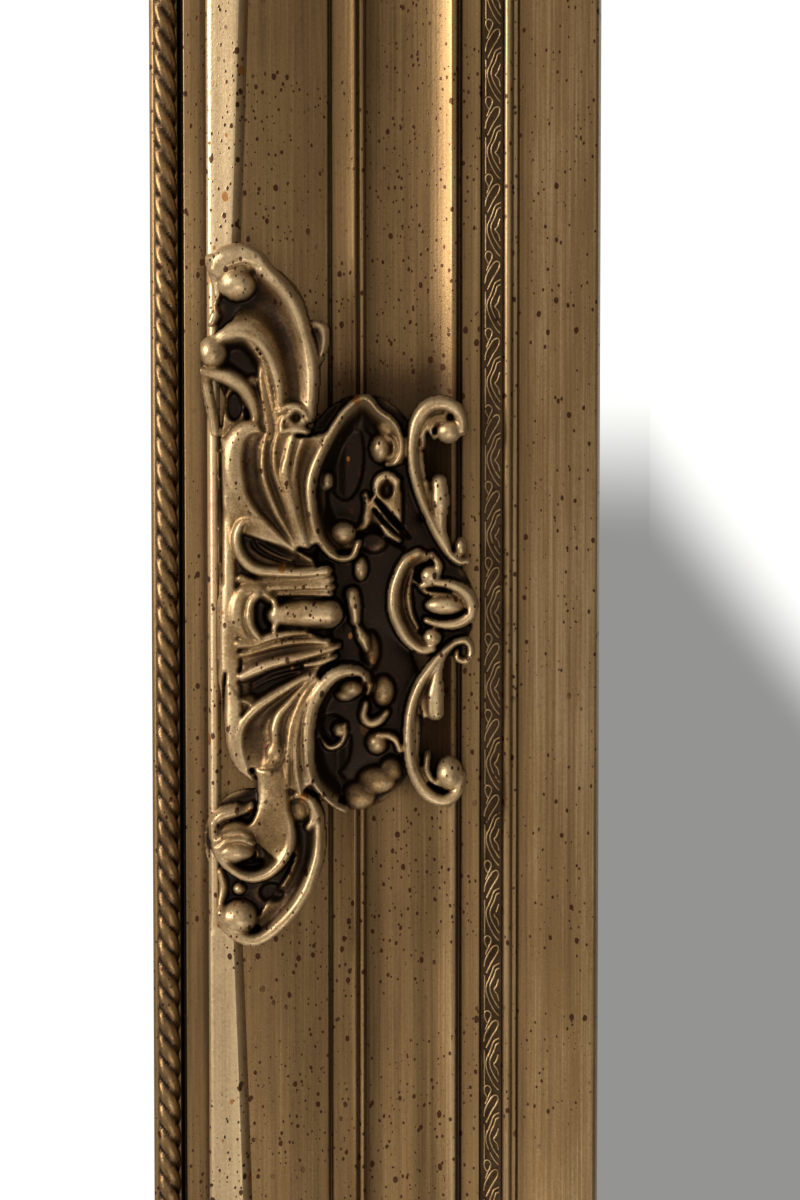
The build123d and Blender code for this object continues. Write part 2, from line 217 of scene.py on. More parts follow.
class Shader:
    """A node material being put together."""

    def __init__(self, name):
        self.material = bpy.data.materials.new(name)
        self.material.use_nodes = True
        self.tree = self.material.node_tree
        self.tree.nodes.clear()
        self.place = self.add("TexCoord").outputs["Object"]

    def add(self, kind, inputs=None, **settings):
        made = self.tree.nodes.new("ShaderNode" + kind)
        for key, value in settings.items():
            setattr(made, key, value)
        for key, value in (inputs or {}).items():
            if isinstance(value, bpy.types.NodeSocket):
                self.tree.links.new(value, made.inputs[key])
            else:
                made.inputs[key].default_value = value
        return made

    def calc(self, operation, first, second=0.0, third=0.0, clamp=False):
        made = self.add("Math", operation=operation, use_clamp=clamp)
        for index, value in enumerate((first, second, third)):
            if isinstance(value, bpy.types.NodeSocket):
                self.tree.links.new(value, made.inputs[index])
            else:
                made.inputs[index].default_value = value
        return made.outputs[0]

    def noise(self, scale, detail=3.0, stretch=(1, 1, 1), shift=0.0):
        """Noise value about 0.5; scale is in waves per metre."""
        place = self.add("Mapping", {"Vector": self.place, "Scale": stretch,
                                     "Location": (shift, shift, shift)})
        settings = {"Vector": place.outputs[0], "Scale": scale, "Detail": detail, "Roughness": 0.6}
        return self.add("TexNoise", settings).outputs["Fac"]

    def spread(self, value, low, high, out_low=0.0, out_high=1.0, smooth=True):
        kind = "SMOOTHSTEP" if smooth else "LINEAR"
        settings = {"Value": value, "From Min": low, "From Max": high, "To Min": out_low, "To Max": out_high}
        return self.add("MapRange", settings, interpolation_type=kind).outputs[0]

    def mix(self, share, first, second):
        made = self.add("Mix", {"Factor": share}, data_type="RGBA")
        for socket, value in ((made.inputs[6], first), (made.inputs[7], second)):
            if isinstance(value, bpy.types.NodeSocket):
                self.tree.links.new(value, socket)
            else:
                socket.default_value = (*value, 1)
        return made.outputs[2]

    def ramp(self, value, *stops):
        made = self.add("ValToRGB", {"Fac": value})
        elements = made.color_ramp.elements
        while len(elements) < len(stops):
            elements.new(0.5)
        for element, (position, colour) in zip(elements, stops):
            element.position = position
            element.color = (*colour, 1)
        return made.outputs["Color"]

    def spots(self, scale, share, size, tall=1.4, turn=0.0, shift=0.0):
        """Spots on the front in a share of the cells, each a random part of the size given in cells."""
        parts = self.add("SeparateXYZ", {"Vector": self.place}).outputs
        front = self.add("CombineXYZ", {"X": parts["X"], "Y": parts["Z"], "Z": 0.0}).outputs[0]
        settings = {"Vector": front, "Scale": (1, 1 / tall, 1), "Rotation": (0, 0, turn),
                    "Location": (shift,) * 3}
        place = self.add("Mapping", settings)
        wobble = self.add("TexNoise", {"Vector": place.outputs[0], "Scale": scale * 2.6, "Detail": 2.0})
        cells = self.add("TexVoronoi", {"Vector": place.outputs[0], "Scale": scale}, voronoi_dimensions="2D")
        chance = self.add("SeparateColor", {"Color": cells.outputs["Color"]}).outputs[0]
        grown = self.calc("POWER", self.spread(chance, 1 - share, 1.0, smooth=False), 2.2)
        radius = self.calc("MULTIPLY_ADD", grown, 0.72 * size, 0.28 * size)
        shown = self.calc("GREATER_THAN", chance, 1 - share)
        uneven = self.calc("MULTIPLY_ADD", wobble.outputs["Fac"], 0.9 * size, -0.45 * size)
        edge = self.calc("SUBTRACT", radius, self.calc("ADD", cells.outputs["Distance"], uneven))
        return self.calc("MULTIPLY", self.spread(edge, -0.05 * size, 0.15 * size), shown)

    def finish(self, colour, roughness, metallic=0.0, bump=None, bump_distance=0.0001, **uniform):
        inputs = {"Base Color": colour if isinstance(colour, bpy.types.NodeSocket) else (*colour, 1)}
        inputs.update({"Roughness": roughness, "Metallic": metallic})
        inputs.update({key.replace("_", " ").title().replace("Ior", "IOR"): value for key,
                       value in uniform.items()})
        if bump is not None:
            inputs["Normal"] = self.add("Bump", {"Height": bump, "Distance": bump_distance}).outputs[0]
        surface = self.add("BsdfPrincipled", inputs)
        output = self.add("OutputMaterial")
        self.tree.links.new(surface.outputs[0], output.inputs["Surface"])
        return self.material


UMBER = (0.015, 0.0082, 0.0034)
BROWN = (0.072, 0.038, 0.0145)
GOLD = (0.205, 0.120, 0.047)
CHAMPAGNE = (0.63, 0.455, 0.25)
SPECK = (0.040, 0.0105, 0.0035)
RUST = (0.30, 0.105, 0.018)


def gilding(name, level=0.5, brushed=1.0, patina=0.34, rub=0.1, specks=1.0, rust=0.0, roughness=0.40,
            metal=0.78, ornament_shade=0.0, shaded=0.0):
    """Antiqued champagne gilding: brushed along the side, dark in hollows with patina and painted shade,
    worn light on edges.

    ornament_shade paints the ornament's shadow round the middle of the side, under the ornament, and
    darkens the outer fillet a little; shaded paints shade, with patina, along the outer side of the slip.
    """
    shader = Shader(name)
    calc, noise = shader.calc, shader.noise
    hollow = shader.add("Attribute", attribute_name="hollow").outputs["Fac"]
    fine = noise(1500, 3, (1, 1, 0.012))
    broad = noise(330, 3, (1, 1, 0.02), 3.1)
    cloud = noise(28, 4, (1, 1, 0.45), 7.7)
    smudge = noise(170, 5, (1, 1, 0.7), 2.9)
    grain = noise(1400, 2, (1, 1, 1), 1.3)
    tone = calc("MULTIPLY_ADD", fine, 0.34 * brushed, level - 0.17 * brushed)
    tone = calc("ADD", tone, calc("MULTIPLY_ADD", broad, 0.20 * brushed, -0.10 * brushed))
    tone = calc("ADD", tone, calc("MULTIPLY_ADD", cloud, 0.26, -0.13))
    mottle = 0.14 + 0.2 * max(0.0, 1 - brushed)
    tone = calc("ADD", tone, calc("MULTIPLY_ADD", grain, mottle, -mottle / 2))
    cloudy = (1.2 - brushed) * patina
    tone = calc("ADD", tone, calc("MULTIPLY_ADD", smudge, 0.9 * cloudy, -0.45 * cloudy))
    # Darkening from the attribute: patina in hollows, and painted shade where a mesh sets it so.
    sunk = shader.spread(hollow, 0.0, 2.2, 0.0, patina * 2.2, smooth=False)
    across, _, along = shader.add("SeparateXYZ", {"Vector": shader.place}).outputs
    # Painted shade, with patina, along the slip's outer side, in its corner beside the moulding's fine bead.
    if shaded:
        sunk = calc("ADD", sunk, shader.spread(across, 0.0972, 0.1030, shaded, 0))
    # Painted shadow of the ornament on the moulding, round the middle of the side and under the ornament.
    if ornament_shade:
        near = calc("MULTIPLY", shader.spread(along, 0.050, 0.068, ornament_shade, 0),
                    shader.spread(along, -0.056, -0.046))
        inner = calc("MULTIPLY", shader.spread(across, 0.040, 0.048),
                     shader.spread(across, 0.078, 0.085, 1, 0))
        sunk = calc("ADD", sunk, calc("MULTIPLY", near, inner))
        # The outer fillet, between the rope and the raised edge, is darkened a little all along the side.
        sunk = calc("ADD", sunk, shader.spread(across, 0.0145, 0.0165, 0.08, 0))
    worn = shader.spread(hollow, -1.2, 0.0, rub, 0.0, smooth=False)
    tone = calc("ADD", calc("SUBTRACT", tone, sunk), worn, clamp=True)
    colour = shader.ramp(tone, (0.0, UMBER), (0.3, BROWN), (0.55, GOLD), (1.0, CHAMPAGNE))
    cluster = shader.spread(noise(30, 2, (1, 1, 1), 5.2), 0.40, 0.47, 0.15, 1.0)
    if rust:
        rubbed = calc("MULTIPLY", shader.spots(150, min(0.9, 0.40 * rust), 0.18, 1.5, 0.2, 2.0), cluster)
        colour = shader.mix(calc("MULTIPLY", rubbed, 0.85), colour, RUST)
    large = calc("MULTIPLY", shader.spots(290, min(0.9, 0.6 * specks), 0.20, 1.5, 0.35), cluster)
    small = shader.spots(640, min(0.85, 0.5 * specks), 0.25, 1.5, -0.3, 4.0)
    speck = calc("MAXIMUM", large, calc("MULTIPLY", small, cluster))
    colour = shader.mix(calc("MULTIPLY", speck, 0.93), colour, SPECK)
    rough = calc("MULTIPLY_ADD", broad, 0.22, roughness - 0.11)
    height = calc("ADD", calc("MULTIPLY", fine, 0.35 * brushed), calc("MULTIPLY", grain, 2.5 * mottle))
    height = calc("MULTIPLY_ADD", speck, 0.3, height)
    height = calc("MULTIPLY_ADD", smudge, 2.0 * max(0.0, 1 - brushed), height)
    return shader.finish(colour, rough, metal, height, 0.00009, specular_ior_level=0.25)


def plain_wood(name, light, dark, roughness=0.45, along=(1, 1, 0.05)):
    """Straight-grained wood under a stain or bare."""
    shader = Shader(name)
    grain = shader.noise(420, 4, along)
    rings = shader.noise(60, 3, along, 2.0)
    tone = shader.calc("MULTIPLY_ADD", rings, 0.6, shader.calc("MULTIPLY", grain, 0.5), clamp=True)
    colour = shader.ramp(tone, (0.3, dark), (0.75, light))
    rough = shader.calc("MULTIPLY_ADD", grain, 0.2, roughness - 0.1)
    return shader.finish(colour, rough, 0.0, grain, 0.00012)


def metal(name, colour, roughness, scale=900):
    """Fine-brushed metal with faint tarnish."""
    shader = Shader(name)
    brush = shader.noise(scale, 3, (0.08, 1, 1))
    tarnish = shader.noise(70, 4, (1, 1, 1), 3.0)
    darker = tuple(0.62 * value for value in colour)
    tone = shader.mix(shader.spread(tarnish, 0.35, 0.75), colour, darker)
    rough = shader.calc("MULTIPLY_ADD", brush, 0.2, roughness - 0.1)
    return shader.finish(tone, rough, 1.0, brush, 0.00002)


def rubber(name):
    shader = Shader(name)
    grain = shader.noise(1800, 3)
    colour = shader.ramp(shader.noise(60, 3), (0.3, (0.012, 0.012, 0.012)), (0.8, (0.032, 0.031, 0.030)))
    return shader.finish(colour, shader.spread(grain, 0.3, 0.7, 0.6, 0.8), 0.0, grain, 0.00008)


def felt(name):
    shader = Shader(name)
    fibre = shader.noise(2600, 4)
    colour = shader.ramp(fibre, (0.3, (0.025, 0.025, 0.024)), (0.75, (0.075, 0.074, 0.070)))
    return shader.finish(colour, 0.95, 0.0, fibre, 0.0003)


def hardboard(name):
    """Pressed fibre board: brown, finely mottled."""
    shader = Shader(name)
    fibre = shader.noise(1300, 5)
    cloud = shader.noise(20, 3, (1, 1, 1), 2.0)
    tone = shader.calc("MULTIPLY_ADD", cloud, 0.5, shader.calc("MULTIPLY", fibre, 0.55), clamp=True)
    colour = shader.ramp(tone, (0.25, (0.07, 0.035, 0.015)), (0.8, (0.22, 0.125, 0.062)))
    return shader.finish(colour, 0.7, 0.0, fibre, 0.0002)


def silvering(name):
    """Polished silvered glass, with the faintest haze."""
    shader = Shader(name)
    haze = shader.noise(40, 3)
    return shader.finish((0.93, 0.94, 0.94), shader.spread(haze, 0.3, 0.8, 0.0, 0.012), 1.0)


# The moulding's gilding carries the ornament's painted shadow.
GILT = gilding("champagne gilding", level=0.49, patina=0.24, specks=1.0, ornament_shade=0.3)
# The raised edge is gilded much paler than the rest: its own pale gilding, with a painted highlight for its face
# turned to the light.
GILT_EDGE = gilding("pale edge gilding with painted highlight", level=0.80, brushed=0.5, patina=0.2, specks=1.4, rust=1.0,
                    roughness=0.40)
# The slip's gilding carries painted shade along its outer side.
GILT_SLIP = gilding("frieze gilding", level=0.46, brushed=1.1, specks=0.5, roughness=0.40, shaded=0.14)
GILT_TRIM = gilding("dark trim gilding", level=0.29, brushed=0.2, patina=0.5, rub=0.30, specks=0.4,
                    roughness=0.36)
GILT_LACE = gilding("lace gilding", level=0.34, brushed=0.2, patina=0.5, rub=0.45, specks=0.4, roughness=0.34)
GILT_CAST = gilding("cast ornament gilding", level=0.47, brushed=0.0, patina=0.40, rub=0.26, specks=1.0,
                    rust=0.35,
                    roughness=0.42, metal=0.74)

# ---- mouldings ----------------------------------------------------------------------------------

MOULDING = softened(trace(
    (0, 0),
    (0, 27),
    (1, 28),
    (7.4, 28),  # rope seat
    (7.9, 25.6),
    (8.8, 25.6),
    (9.2, 32.3),  # outer fillet
    (15.3, 32.5),
    (16.6, 35.4),
    ((32, 33), (46.8, 28.6)),  # long slope
    (47.3, 27.1),
    (48, 27.8),
    ((51, 28.2), (53.8, 29.2)),  # small cove
    (54.4, 28.7),
    (54.8, 27.4),
    (55.2, 28.5),
    (56.2, 28.4),
    (56.8, 26.8),
    ((68, 24.5), (79.4, 29)),  # cove
    (80.6, 28.7),
    (81.1, 25.6),
    (81.7, 25.6),
    (82.1, 26.4),
    (87, 26.4),
    (87.2, 25.2),  # lace seat
    (93, 25.2),
    (93.2, 25.6),
    ((94.3, 26.8), (95.4, 25.6)),  # fine bead
    (95.6, 23.6),
    (97, 23.6),
    (97, 0),
))

SLIP = softened(trace(
    (97, 8.9),
    (97, 24.8),
    (97.4, 25.2),
    (117.4, 21.8),
    ((118.2, 21.3), (118.5, 20.4)),
    (118.5, 17),
    (112.5, 17),
    (112.5, 8.9),
))


def swept_edge_section(inner, share):
    """Section of the raised edge; share runs from 0, a narrow rod, to 1, the broad sloping band."""
    floor = 32.6
    across = np.array([0, 0, 0.03, 0.10, 0.2, 0.35, 0.5, 0.65, 0.8, 0.9, 0.97, 1.0, 1.0, 1.0])
    band = np.array([0, 0.6, 0.85, 0.98, 1, 1, 1, 1, 1, 1, 0.99, 0.95, 0.3, 0])
    rod = np.array([0, 0.3, 0.45, 0.68, 0.86, 0.98, 1, 0.98, 0.86, 0.68, 0.45, 0.3, 0.15, 0])
    u = EDGE_OUTER + across * (inner - EDGE_OUTER)
    foot = (1.6 * share + 0.5) * np.array([0] * 12 + [0.75, 1.0])
    top = 37.0 + (u - 16.6) * 0.274
    base = np.where(across > 0.5, 35.0 - 0.09 * (u - 19), floor)
    height = base + (top - base) * (share * band + (1 - share) * rod)
    return u + foot, height


def swept_edge(name, half_length, material):
    """The raised edge, sweeping in and out between the centre cartouche and the corners."""
    sweep_end = half_length - CORNER_REACH
    middle, reach = (SWEEP_START + sweep_end) / 2, (sweep_end - SWEEP_START) / 2
    stations = np.arange(-half_length, half_length + 1, 5.0)
    marks = [sign * (mark + step) for sign in (-1, 1) for mark in (SWEEP_START,
                                                                   sweep_end) for step in (-1.5, 0, 1.5)]
    stations = np.unique(np.concatenate((stations, marks)))
    points, hollow = [], []
    for station in stations:
        distance = abs(station)
        inside = max(0.0, 1 - ((distance - middle) / reach) ** 2)
        wide = SWEEP_START <= distance <= sweep_end
        swell = EDGE_SHOULDER + (EDGE_WIDE - EDGE_SHOULDER) * inside
        u, h = swept_edge_section(swell if wide else EDGE_NARROW, 1.0 if wide else 0.0)
        for index in range(len(u)):
            points.append((u[index], station / half_length * (half_length - u[index]), h[index]))
            # The two foot points of the edge's inner side, a bevel turned from the light, carry painted shade; the
            # rest is worn a little light.
            hollow.append(0.9 if index in (12, 13) else -0.1)
    return build(name, points, loft(len(stations), len(u)), material, {"hollow": hollow}, sharp=50)


def rope(name, half_length, material, strands=3, pitch=6.35, radius=3.1):
    """Three-strand twisted rope, half round, with a flat back."""
    around = np.radians(np.arange(0, 181, 15))
    stations = np.linspace(-1, 1, int(2 * half_length / 0.7) + 1)
    angle, station = np.meshgrid(around, stations)
    along = station * half_length
    turn = (strands * angle / (2 * math.pi) + along / pitch) % 1
    arch = np.sqrt(np.clip(1 - (2 * turn - 1) ** 2, 0, 1))
    size = radius - 1.15 * (1 - arch)
    u = 4.2 - size * np.cos(angle)
    h = 28.05 + size * np.sin(angle)
    points = np.column_stack((u.ravel(), (station * (half_length - u)).ravel(), h.ravel()))
    hollow = 1.5 - 2.4 * arch.ravel()
    return build(name, points, loft(len(stations), len(around)), material, {"hollow": hollow}, sharp=75)


LACE_PITCH = 20.2
LACE_RIBBONS = [
    [(89.3, -3.4), (88.4, -1.6), (88.6, -0.1), (89.5, 0), (90.2, -1.2), (89.3, -3.4), (88.7, -5)],
    [(88.3, -8.3), (88.6, -6.4), (89.7, -4.2), (90.8, -2.7), (91.8, -2.6), (92.1, -3.7), (91.6, -5),
     (90.3, -7.1),
     (88.9, -10)],
    [(92.3, -7.3), (91, -8.1), (90.4, -9.6), (89.7, -11.5), (89, -13), (88.8, -14.6), (89.3, -16.6),
     (90.3, -18.8),
     (91.2, -20.3), (92.2, -21.4)],
    [(92.3, -8.6), (91.5, -9.1), (91, -10.8), (90.1, -12.6), (89.8, -14.1), (90.3, -16), (91.3, -17.9),
     (92.3, -19.4)],
    [(92.2, -11.6), (91.6, -13.5), (90.9, -14.5), (91.8, -15.7), (92.2, -17.4)],
    [(88.4, -10.5), (88.4, -15), (88.4, -20)],
]


def smooth_path(points, step=0.5):
    """Points along a Catmull-Rom curve through the given ones, with their place along the list."""
    points = np.asarray(points, float)
    padded = np.vstack((2 * points[0] - points[1], points, 2 * points[-1] - points[-2]))
    path, places = [], []
    for index in range(len(points) - 1):
        p0, p1, p2, p3 = padded[index:index + 4]
        count = max(2, int(np.linalg.norm(p2 - p1) / step) + 1)
        for t in np.arange(count) / count:
            path.append(0.5 * (2 * p1 + (p2 - p0) * t + (2 * p0 - 5 * p1 + 4 * p2 - p3) * t ** 2
                               + (3 * p1 - p0 - 3 * p2 + p3) * t ** 3))
            places.append(index + t)
    path.append(points[-1])
    places.append(len(points) - 1)
    return np.array(path), np.array(places)


def along_path(values, places):
    """Values spread evenly over a path, at the given places along it."""
    values = np.atleast_1d(values).astype(float)
    return np.interp(places, np.linspace(0, places[-1], len(values)), values)


def lace(name, half_length, material):
    """Flat strip with raised interlaced ribbons along it."""
    ground = softened(trace((87.3, 25.2), (87.3, 25.8), (92.9, 25.8), (92.9, 25.2)), 0.15)
    points = [(u, end * (half_length - u), h) for end in (-1, 1) for u, h in ground]
    faces = loft(2, len(ground))
    hollow = [0.35] * len(points)
    ring = np.radians((0, 55, 90, 125, 180, 270))
    repeats = int(2 * (half_length - LACE_MITRE) / LACE_PITCH)
    for repeat in range(repeats):
        start = (repeat + 1 - repeats / 2) * LACE_PITCH
        for ribbon in LACE_RIBBONS:
            path, _ = smooth_path(ribbon, 0.6)
            ahead = np.gradient(path, axis=0)
            ahead /= np.linalg.norm(ahead, axis=1)[:, None]
            first = len(points)
            for spot, (du, ds) in zip(path, ahead):
                for angle in ring:
                    sideways = 0.36 * math.cos(angle)
                    points.append((spot[0] - ds * sideways, start + spot[1] + du * sideways,
                                   25.75 + 0.55 * math.sin(angle)))
                    hollow.append(0.8 - 1.7 * math.sin(angle))
            faces += loft(len(path), len(ring), first)
    return build(name, points, faces, material, {"hollow": hollow}, sharp=70)


# ---- carved relief ------------------------------------------------------------------------------


class Relief:
    """A carving as heights over a grid in side space, in millimetres."""

    def __init__(self, low, high, ground, pitch=0.36):
        self.pitch = pitch
        self.u, self.s = np.meshgrid(np.arange(low[0], high[0], pitch), np.arange(low[1], high[1], pitch))
        self.ground = ground(self.u, self.s)
        reach = int(2.5 / pitch)
        shifted = [np.roll(self.ground, offset, axis=1) for offset in range(-reach, reach + 1)]
        self.floor = np.max(shifted, axis=0) + 0.5
        self.height = np.full(self.u.shape, -99.0)
        self.painted_shade_and_patina = np.zeros(self.u.shape)

    def window(self, low_u, high_u, low_s, high_s):
        """Slices of the grid round a stroke."""
        u0, s0 = self.u[0, 0], self.s[0, 0]
        columns = slice(max(0, int((low_u - u0) / self.pitch)), max(0, int((high_u - u0) / self.pitch) + 2))
        rows = slice(max(0, int((low_s - s0) / self.pitch)), max(0, int((high_s - s0) / self.pitch) + 2))
        return rows, columns

    def patch(self, u, s, half_u, half_s):
        """Slices of the grid round an ellipse, with the squared distance from its middle."""
        rows, columns = self.window(u - half_u, u + half_u, s - half_s, s + half_s)
        du, ds = (self.u[rows, columns] - u) / half_u, (self.s[rows, columns] - s) / half_s
        return rows, columns, du ** 2 + ds ** 2

    def raise_to(self, rows, columns, height, inside, blend=0.7):
        """Union with a shape, with a small fillet where they meet."""
        old = self.height[rows, columns]
        gap = np.clip(1 - np.abs(height - old) / blend, 0, 1)
        union = np.maximum(height, old) + 0.25 * blend * gap ** 2
        self.height[rows, columns] = np.where(inside, union, old)

    def mound(self, u, s, half_u, half_s, top, drop=None):
        """Ellipsoidal dome; drop is how far it falls to its rim."""
        drop = min(half_u, half_s) if drop is None else drop
        rows, columns, distance = self.patch(u, s, half_u, half_s)
        dome = top - drop * (1 - np.sqrt(np.clip(1 - distance, 0, 1)))
        self.raise_to(rows, columns, dome, distance < 1)

    def pit(self, u, s, half_u, half_s, depth):
        """Smooth hollow pressed into what is there."""
        rows, columns, distance = self.patch(u, s, half_u, half_s)
        old = self.height[rows, columns]
        sunk = old - depth * np.clip(1 - distance, 0, 1) ** 0.8
        self.height[rows, columns] = np.maximum(sunk, np.minimum(old, self.floor[rows, columns]))

    def stain(self, u, s, half_u, half_s, amount):
        """Painted shade with patina round a place, as extra depth for the finish."""
        rows, columns, distance = self.patch(u, s, half_u, half_s)
        self.painted_shade_and_patina[rows, columns] += amount * np.clip(1 - distance, 0, 1)

    def nearest(self, points, widths, tops):
        """Distance to a smooth path over its half width, and the path's top, over a window."""
        path, places = smooth_path(points, 0.45)
        width, top = along_path(widths, places), along_path(tops, places)
        reach = 1.4 * width.max() + self.pitch
        rows, columns = self.window(path[:, 0].min() - reach, path[:, 0].max() + reach,
                                    path[:, 1].min() - reach, path[:, 1].max() + reach)
        u, s = self.u[rows, columns], self.s[rows, columns]
        best = np.full(u.shape, 1e9)
        best_top = np.zeros(u.shape)
        for index in range(len(path) - 1):
            start, along = path[index], path[index + 1] - path[index]
            forward = (u - start[0]) * along[0] + (s - start[1]) * along[1]
            share = np.clip(forward / (along @ along + 1e-9), 0, 1)
            away = np.hypot(u - start[0] - share * along[0], s - start[1] - share * along[1])
            relative = away / (width[index] + share * (width[index + 1] - width[index]))
            closer = relative < best
            best = np.where(closer, relative, best)
            best_top = np.where(closer, top[index] + share * (top[index + 1] - top[index]), best_top)
        return rows, columns, best, best_top

    def ridge(self, points, widths, tops, steep=1.1):
        """Rounded ridge along a path."""
        rows, columns, distance, top = self.nearest(points, widths, tops)
        drop = steep * float(np.mean(widths))
        bar = top - drop * (1 - np.sqrt(np.clip(1 - distance ** 2, 0, 1)))
        skirt = top - drop - 5 * (distance - 1)
        self.raise_to(rows, columns, np.where(distance < 1, bar, skirt), distance < 1.35)

    def groove(self, points, widths, floors):
        """Narrow slot cut down along a path."""
        rows, columns, distance, floor = self.nearest(points, widths, floors)
        old = self.height[rows, columns]
        cut = floor + 4 * distance ** 2
        self.height[rows, columns] = np.where(distance < 1.2, np.minimum(old, cut), old)

    def skin(self, first, second, first_tops, second_tops, sag):
        """Surface stretched from one path to another, sagging between them or swelling if negative."""
        share = np.linspace(0, 1, 400)
        edges = []
        for points, tops in ((first, first_tops), (second, second_tops)):
            path, places = smooth_path(points, 0.45)
            length = np.concatenate(([0], np.cumsum(np.linalg.norm(np.diff(path, axis=0), axis=1))))
            top = along_path(tops, places)
            edges.append([np.interp(share, length / length[-1], values) for values in (path[:, 0],
                                                                                       path[:, 1], top)])
        edges = np.array(edges)
        widest = np.hypot(*(edges[0, :2] - edges[1, :2])).max()
        across = np.linspace(0, 1, int(2.5 * widest / self.pitch) + 2)[:, None]
        u, s, height = (edges[0, axis] + across * (edges[1, axis] - edges[0, axis]) for axis in range(3))
        height = height - along_path(sag, share * (len(first) - 1)) * 4 * across * (1 - across)
        skin = np.full(self.height.shape, -99.0)
        rows = np.rint((s - self.s[0, 0]) / self.pitch).astype(int)
        columns = np.rint((u - self.u[0, 0]) / self.pitch).astype(int)
        np.maximum.at(skin, (rows, columns), height)
        self.raise_to(slice(None), slice(None), skin, skin > 0)

    @staticmethod
    def blurred(field, sigma):
        """Gaussian blur; sigma is in cells."""
        reach = int(3 * sigma) + 1
        kernel = np.exp(-0.5 * (np.arange(-reach, reach + 1) / sigma) ** 2)
        kernel /= kernel.sum()
        for axis in (0, 1):
            padded = np.pad(field, [(reach, reach) if axis == other else (0, 0) for other in (0, 1)],
                            mode="edge")
            total = np.zeros_like(field)
            for offset, weight in enumerate(kernel):
                window = [slice(None), slice(None)]
                window[axis] = slice(offset, offset + field.shape[axis])
                total += weight * padded[tuple(window)]
            field = total
        return field

    def mesh(self, name, material, hidden=0.7, turned=1):
        """Closed mesh of the part that stands clear of the moulding, on a flat root inside it."""
        height = np.where(self.height > 0, np.maximum(self.height, self.floor), self.ground - 3)
        height = self.blurred(height, 0.75)
        hollow = 0.6 * (self.blurred(height, 1.0 / self.pitch) - height)
        hollow += 0.5 * (self.blurred(height, 3.0 / self.pitch) - height)
        # Broad hollows and low-lying parts darker still: patina with painted shade of the deep, occluded fields,
        # plus the painted patches.
        hollow += 0.3 * np.maximum(self.blurred(height, 8.0 / self.pitch) - height - 1.0, 0)
        hollow += 0.1 * np.clip(38.0 - height, 0, 8) + self.painted_shade_and_patina
        shown = height > self.ground - hidden
        cells = shown[:-1, :-1] & shown[1:, :-1] & shown[:-1, 1:] & shown[1:, 1:]
        used = np.zeros(shown.shape, bool)
        for rows in (slice(0, -1), slice(1, None)):
            for columns in (slice(0, -1), slice(1, None)):
                used[rows, columns] |= cells
        count = int(used.sum())
        number = np.full(shown.shape, -1)
        number[used] = np.arange(count)
        quads = np.stack((number[:-1, :-1], number[:-1, 1:], number[1:, 1:], number[1:, :-1]), -1)[cells]
        front = np.column_stack((self.u[used], turned * self.s[used], height[used]))
        back = front.copy()
        back[:, 2] = ORNAMENT_ROOT
        edges = np.concatenate([quads[:, [corner, (corner + 1) % 4]] for corner in range(4)])
        once = {tuple(edge) for edge in edges.tolist()}
        border = sorted(edge for edge in once if edge[::-1] not in once)
        skirt = [(b, a, a + count, b + count) for a, b in border]
        faces = quads.tolist() + (quads[:, ::-1] + count).tolist() + skirt
        values = np.concatenate((hollow[used], np.full(count, 1.0)))
        return build(name, np.vstack((front, back)), faces, material, {"hollow": values}, sharp=80)


def moulding_height(u):
    """Front surface of the moulding at a distance in from its outer edge."""
    across = np.arange(0, 160, 0.1)
    return np.interp(u, across, front_of(MOULDING, across))


# A stroke has its (u, s) points, then its half widths and its heights, spread evenly along it. A skin
# has the points of its two edges, then the heights of each, then how far it sags between them.


def carve_ground(relief):
    """Low ground that the cartouche's parts stand on."""
    mound = relief.mound
    mound(29.5, 66.75, 13.4, 20.5, 36.5, 2)
    mound(22.5, 19, 4.7, 38.5, 38.4, 1)
    mound(22.5, -8, 4.7, 32.3, 38.4, 1)
    mound(31.75, -11, 15.5, 26.1, 37, 3)
    mound(31.75, 25.25, 14.9, 22.4, 37, 3)
    mound(26.25, -63.75, 12.4, 13.7, 36.5, 3)
    mound(29.25, -76.25, 10.6, 11.8, 36, 3)
    mound(56, 30.75, 16.8, 23, 31, 4)
    mound(60.25, 3.5, 20.5, 20.5, 30, 3)
    mound(54.25, -30.25, 18, 26.7, 31, 4)
    mound(76, -3, 9.9, 13.7, 30, 3)


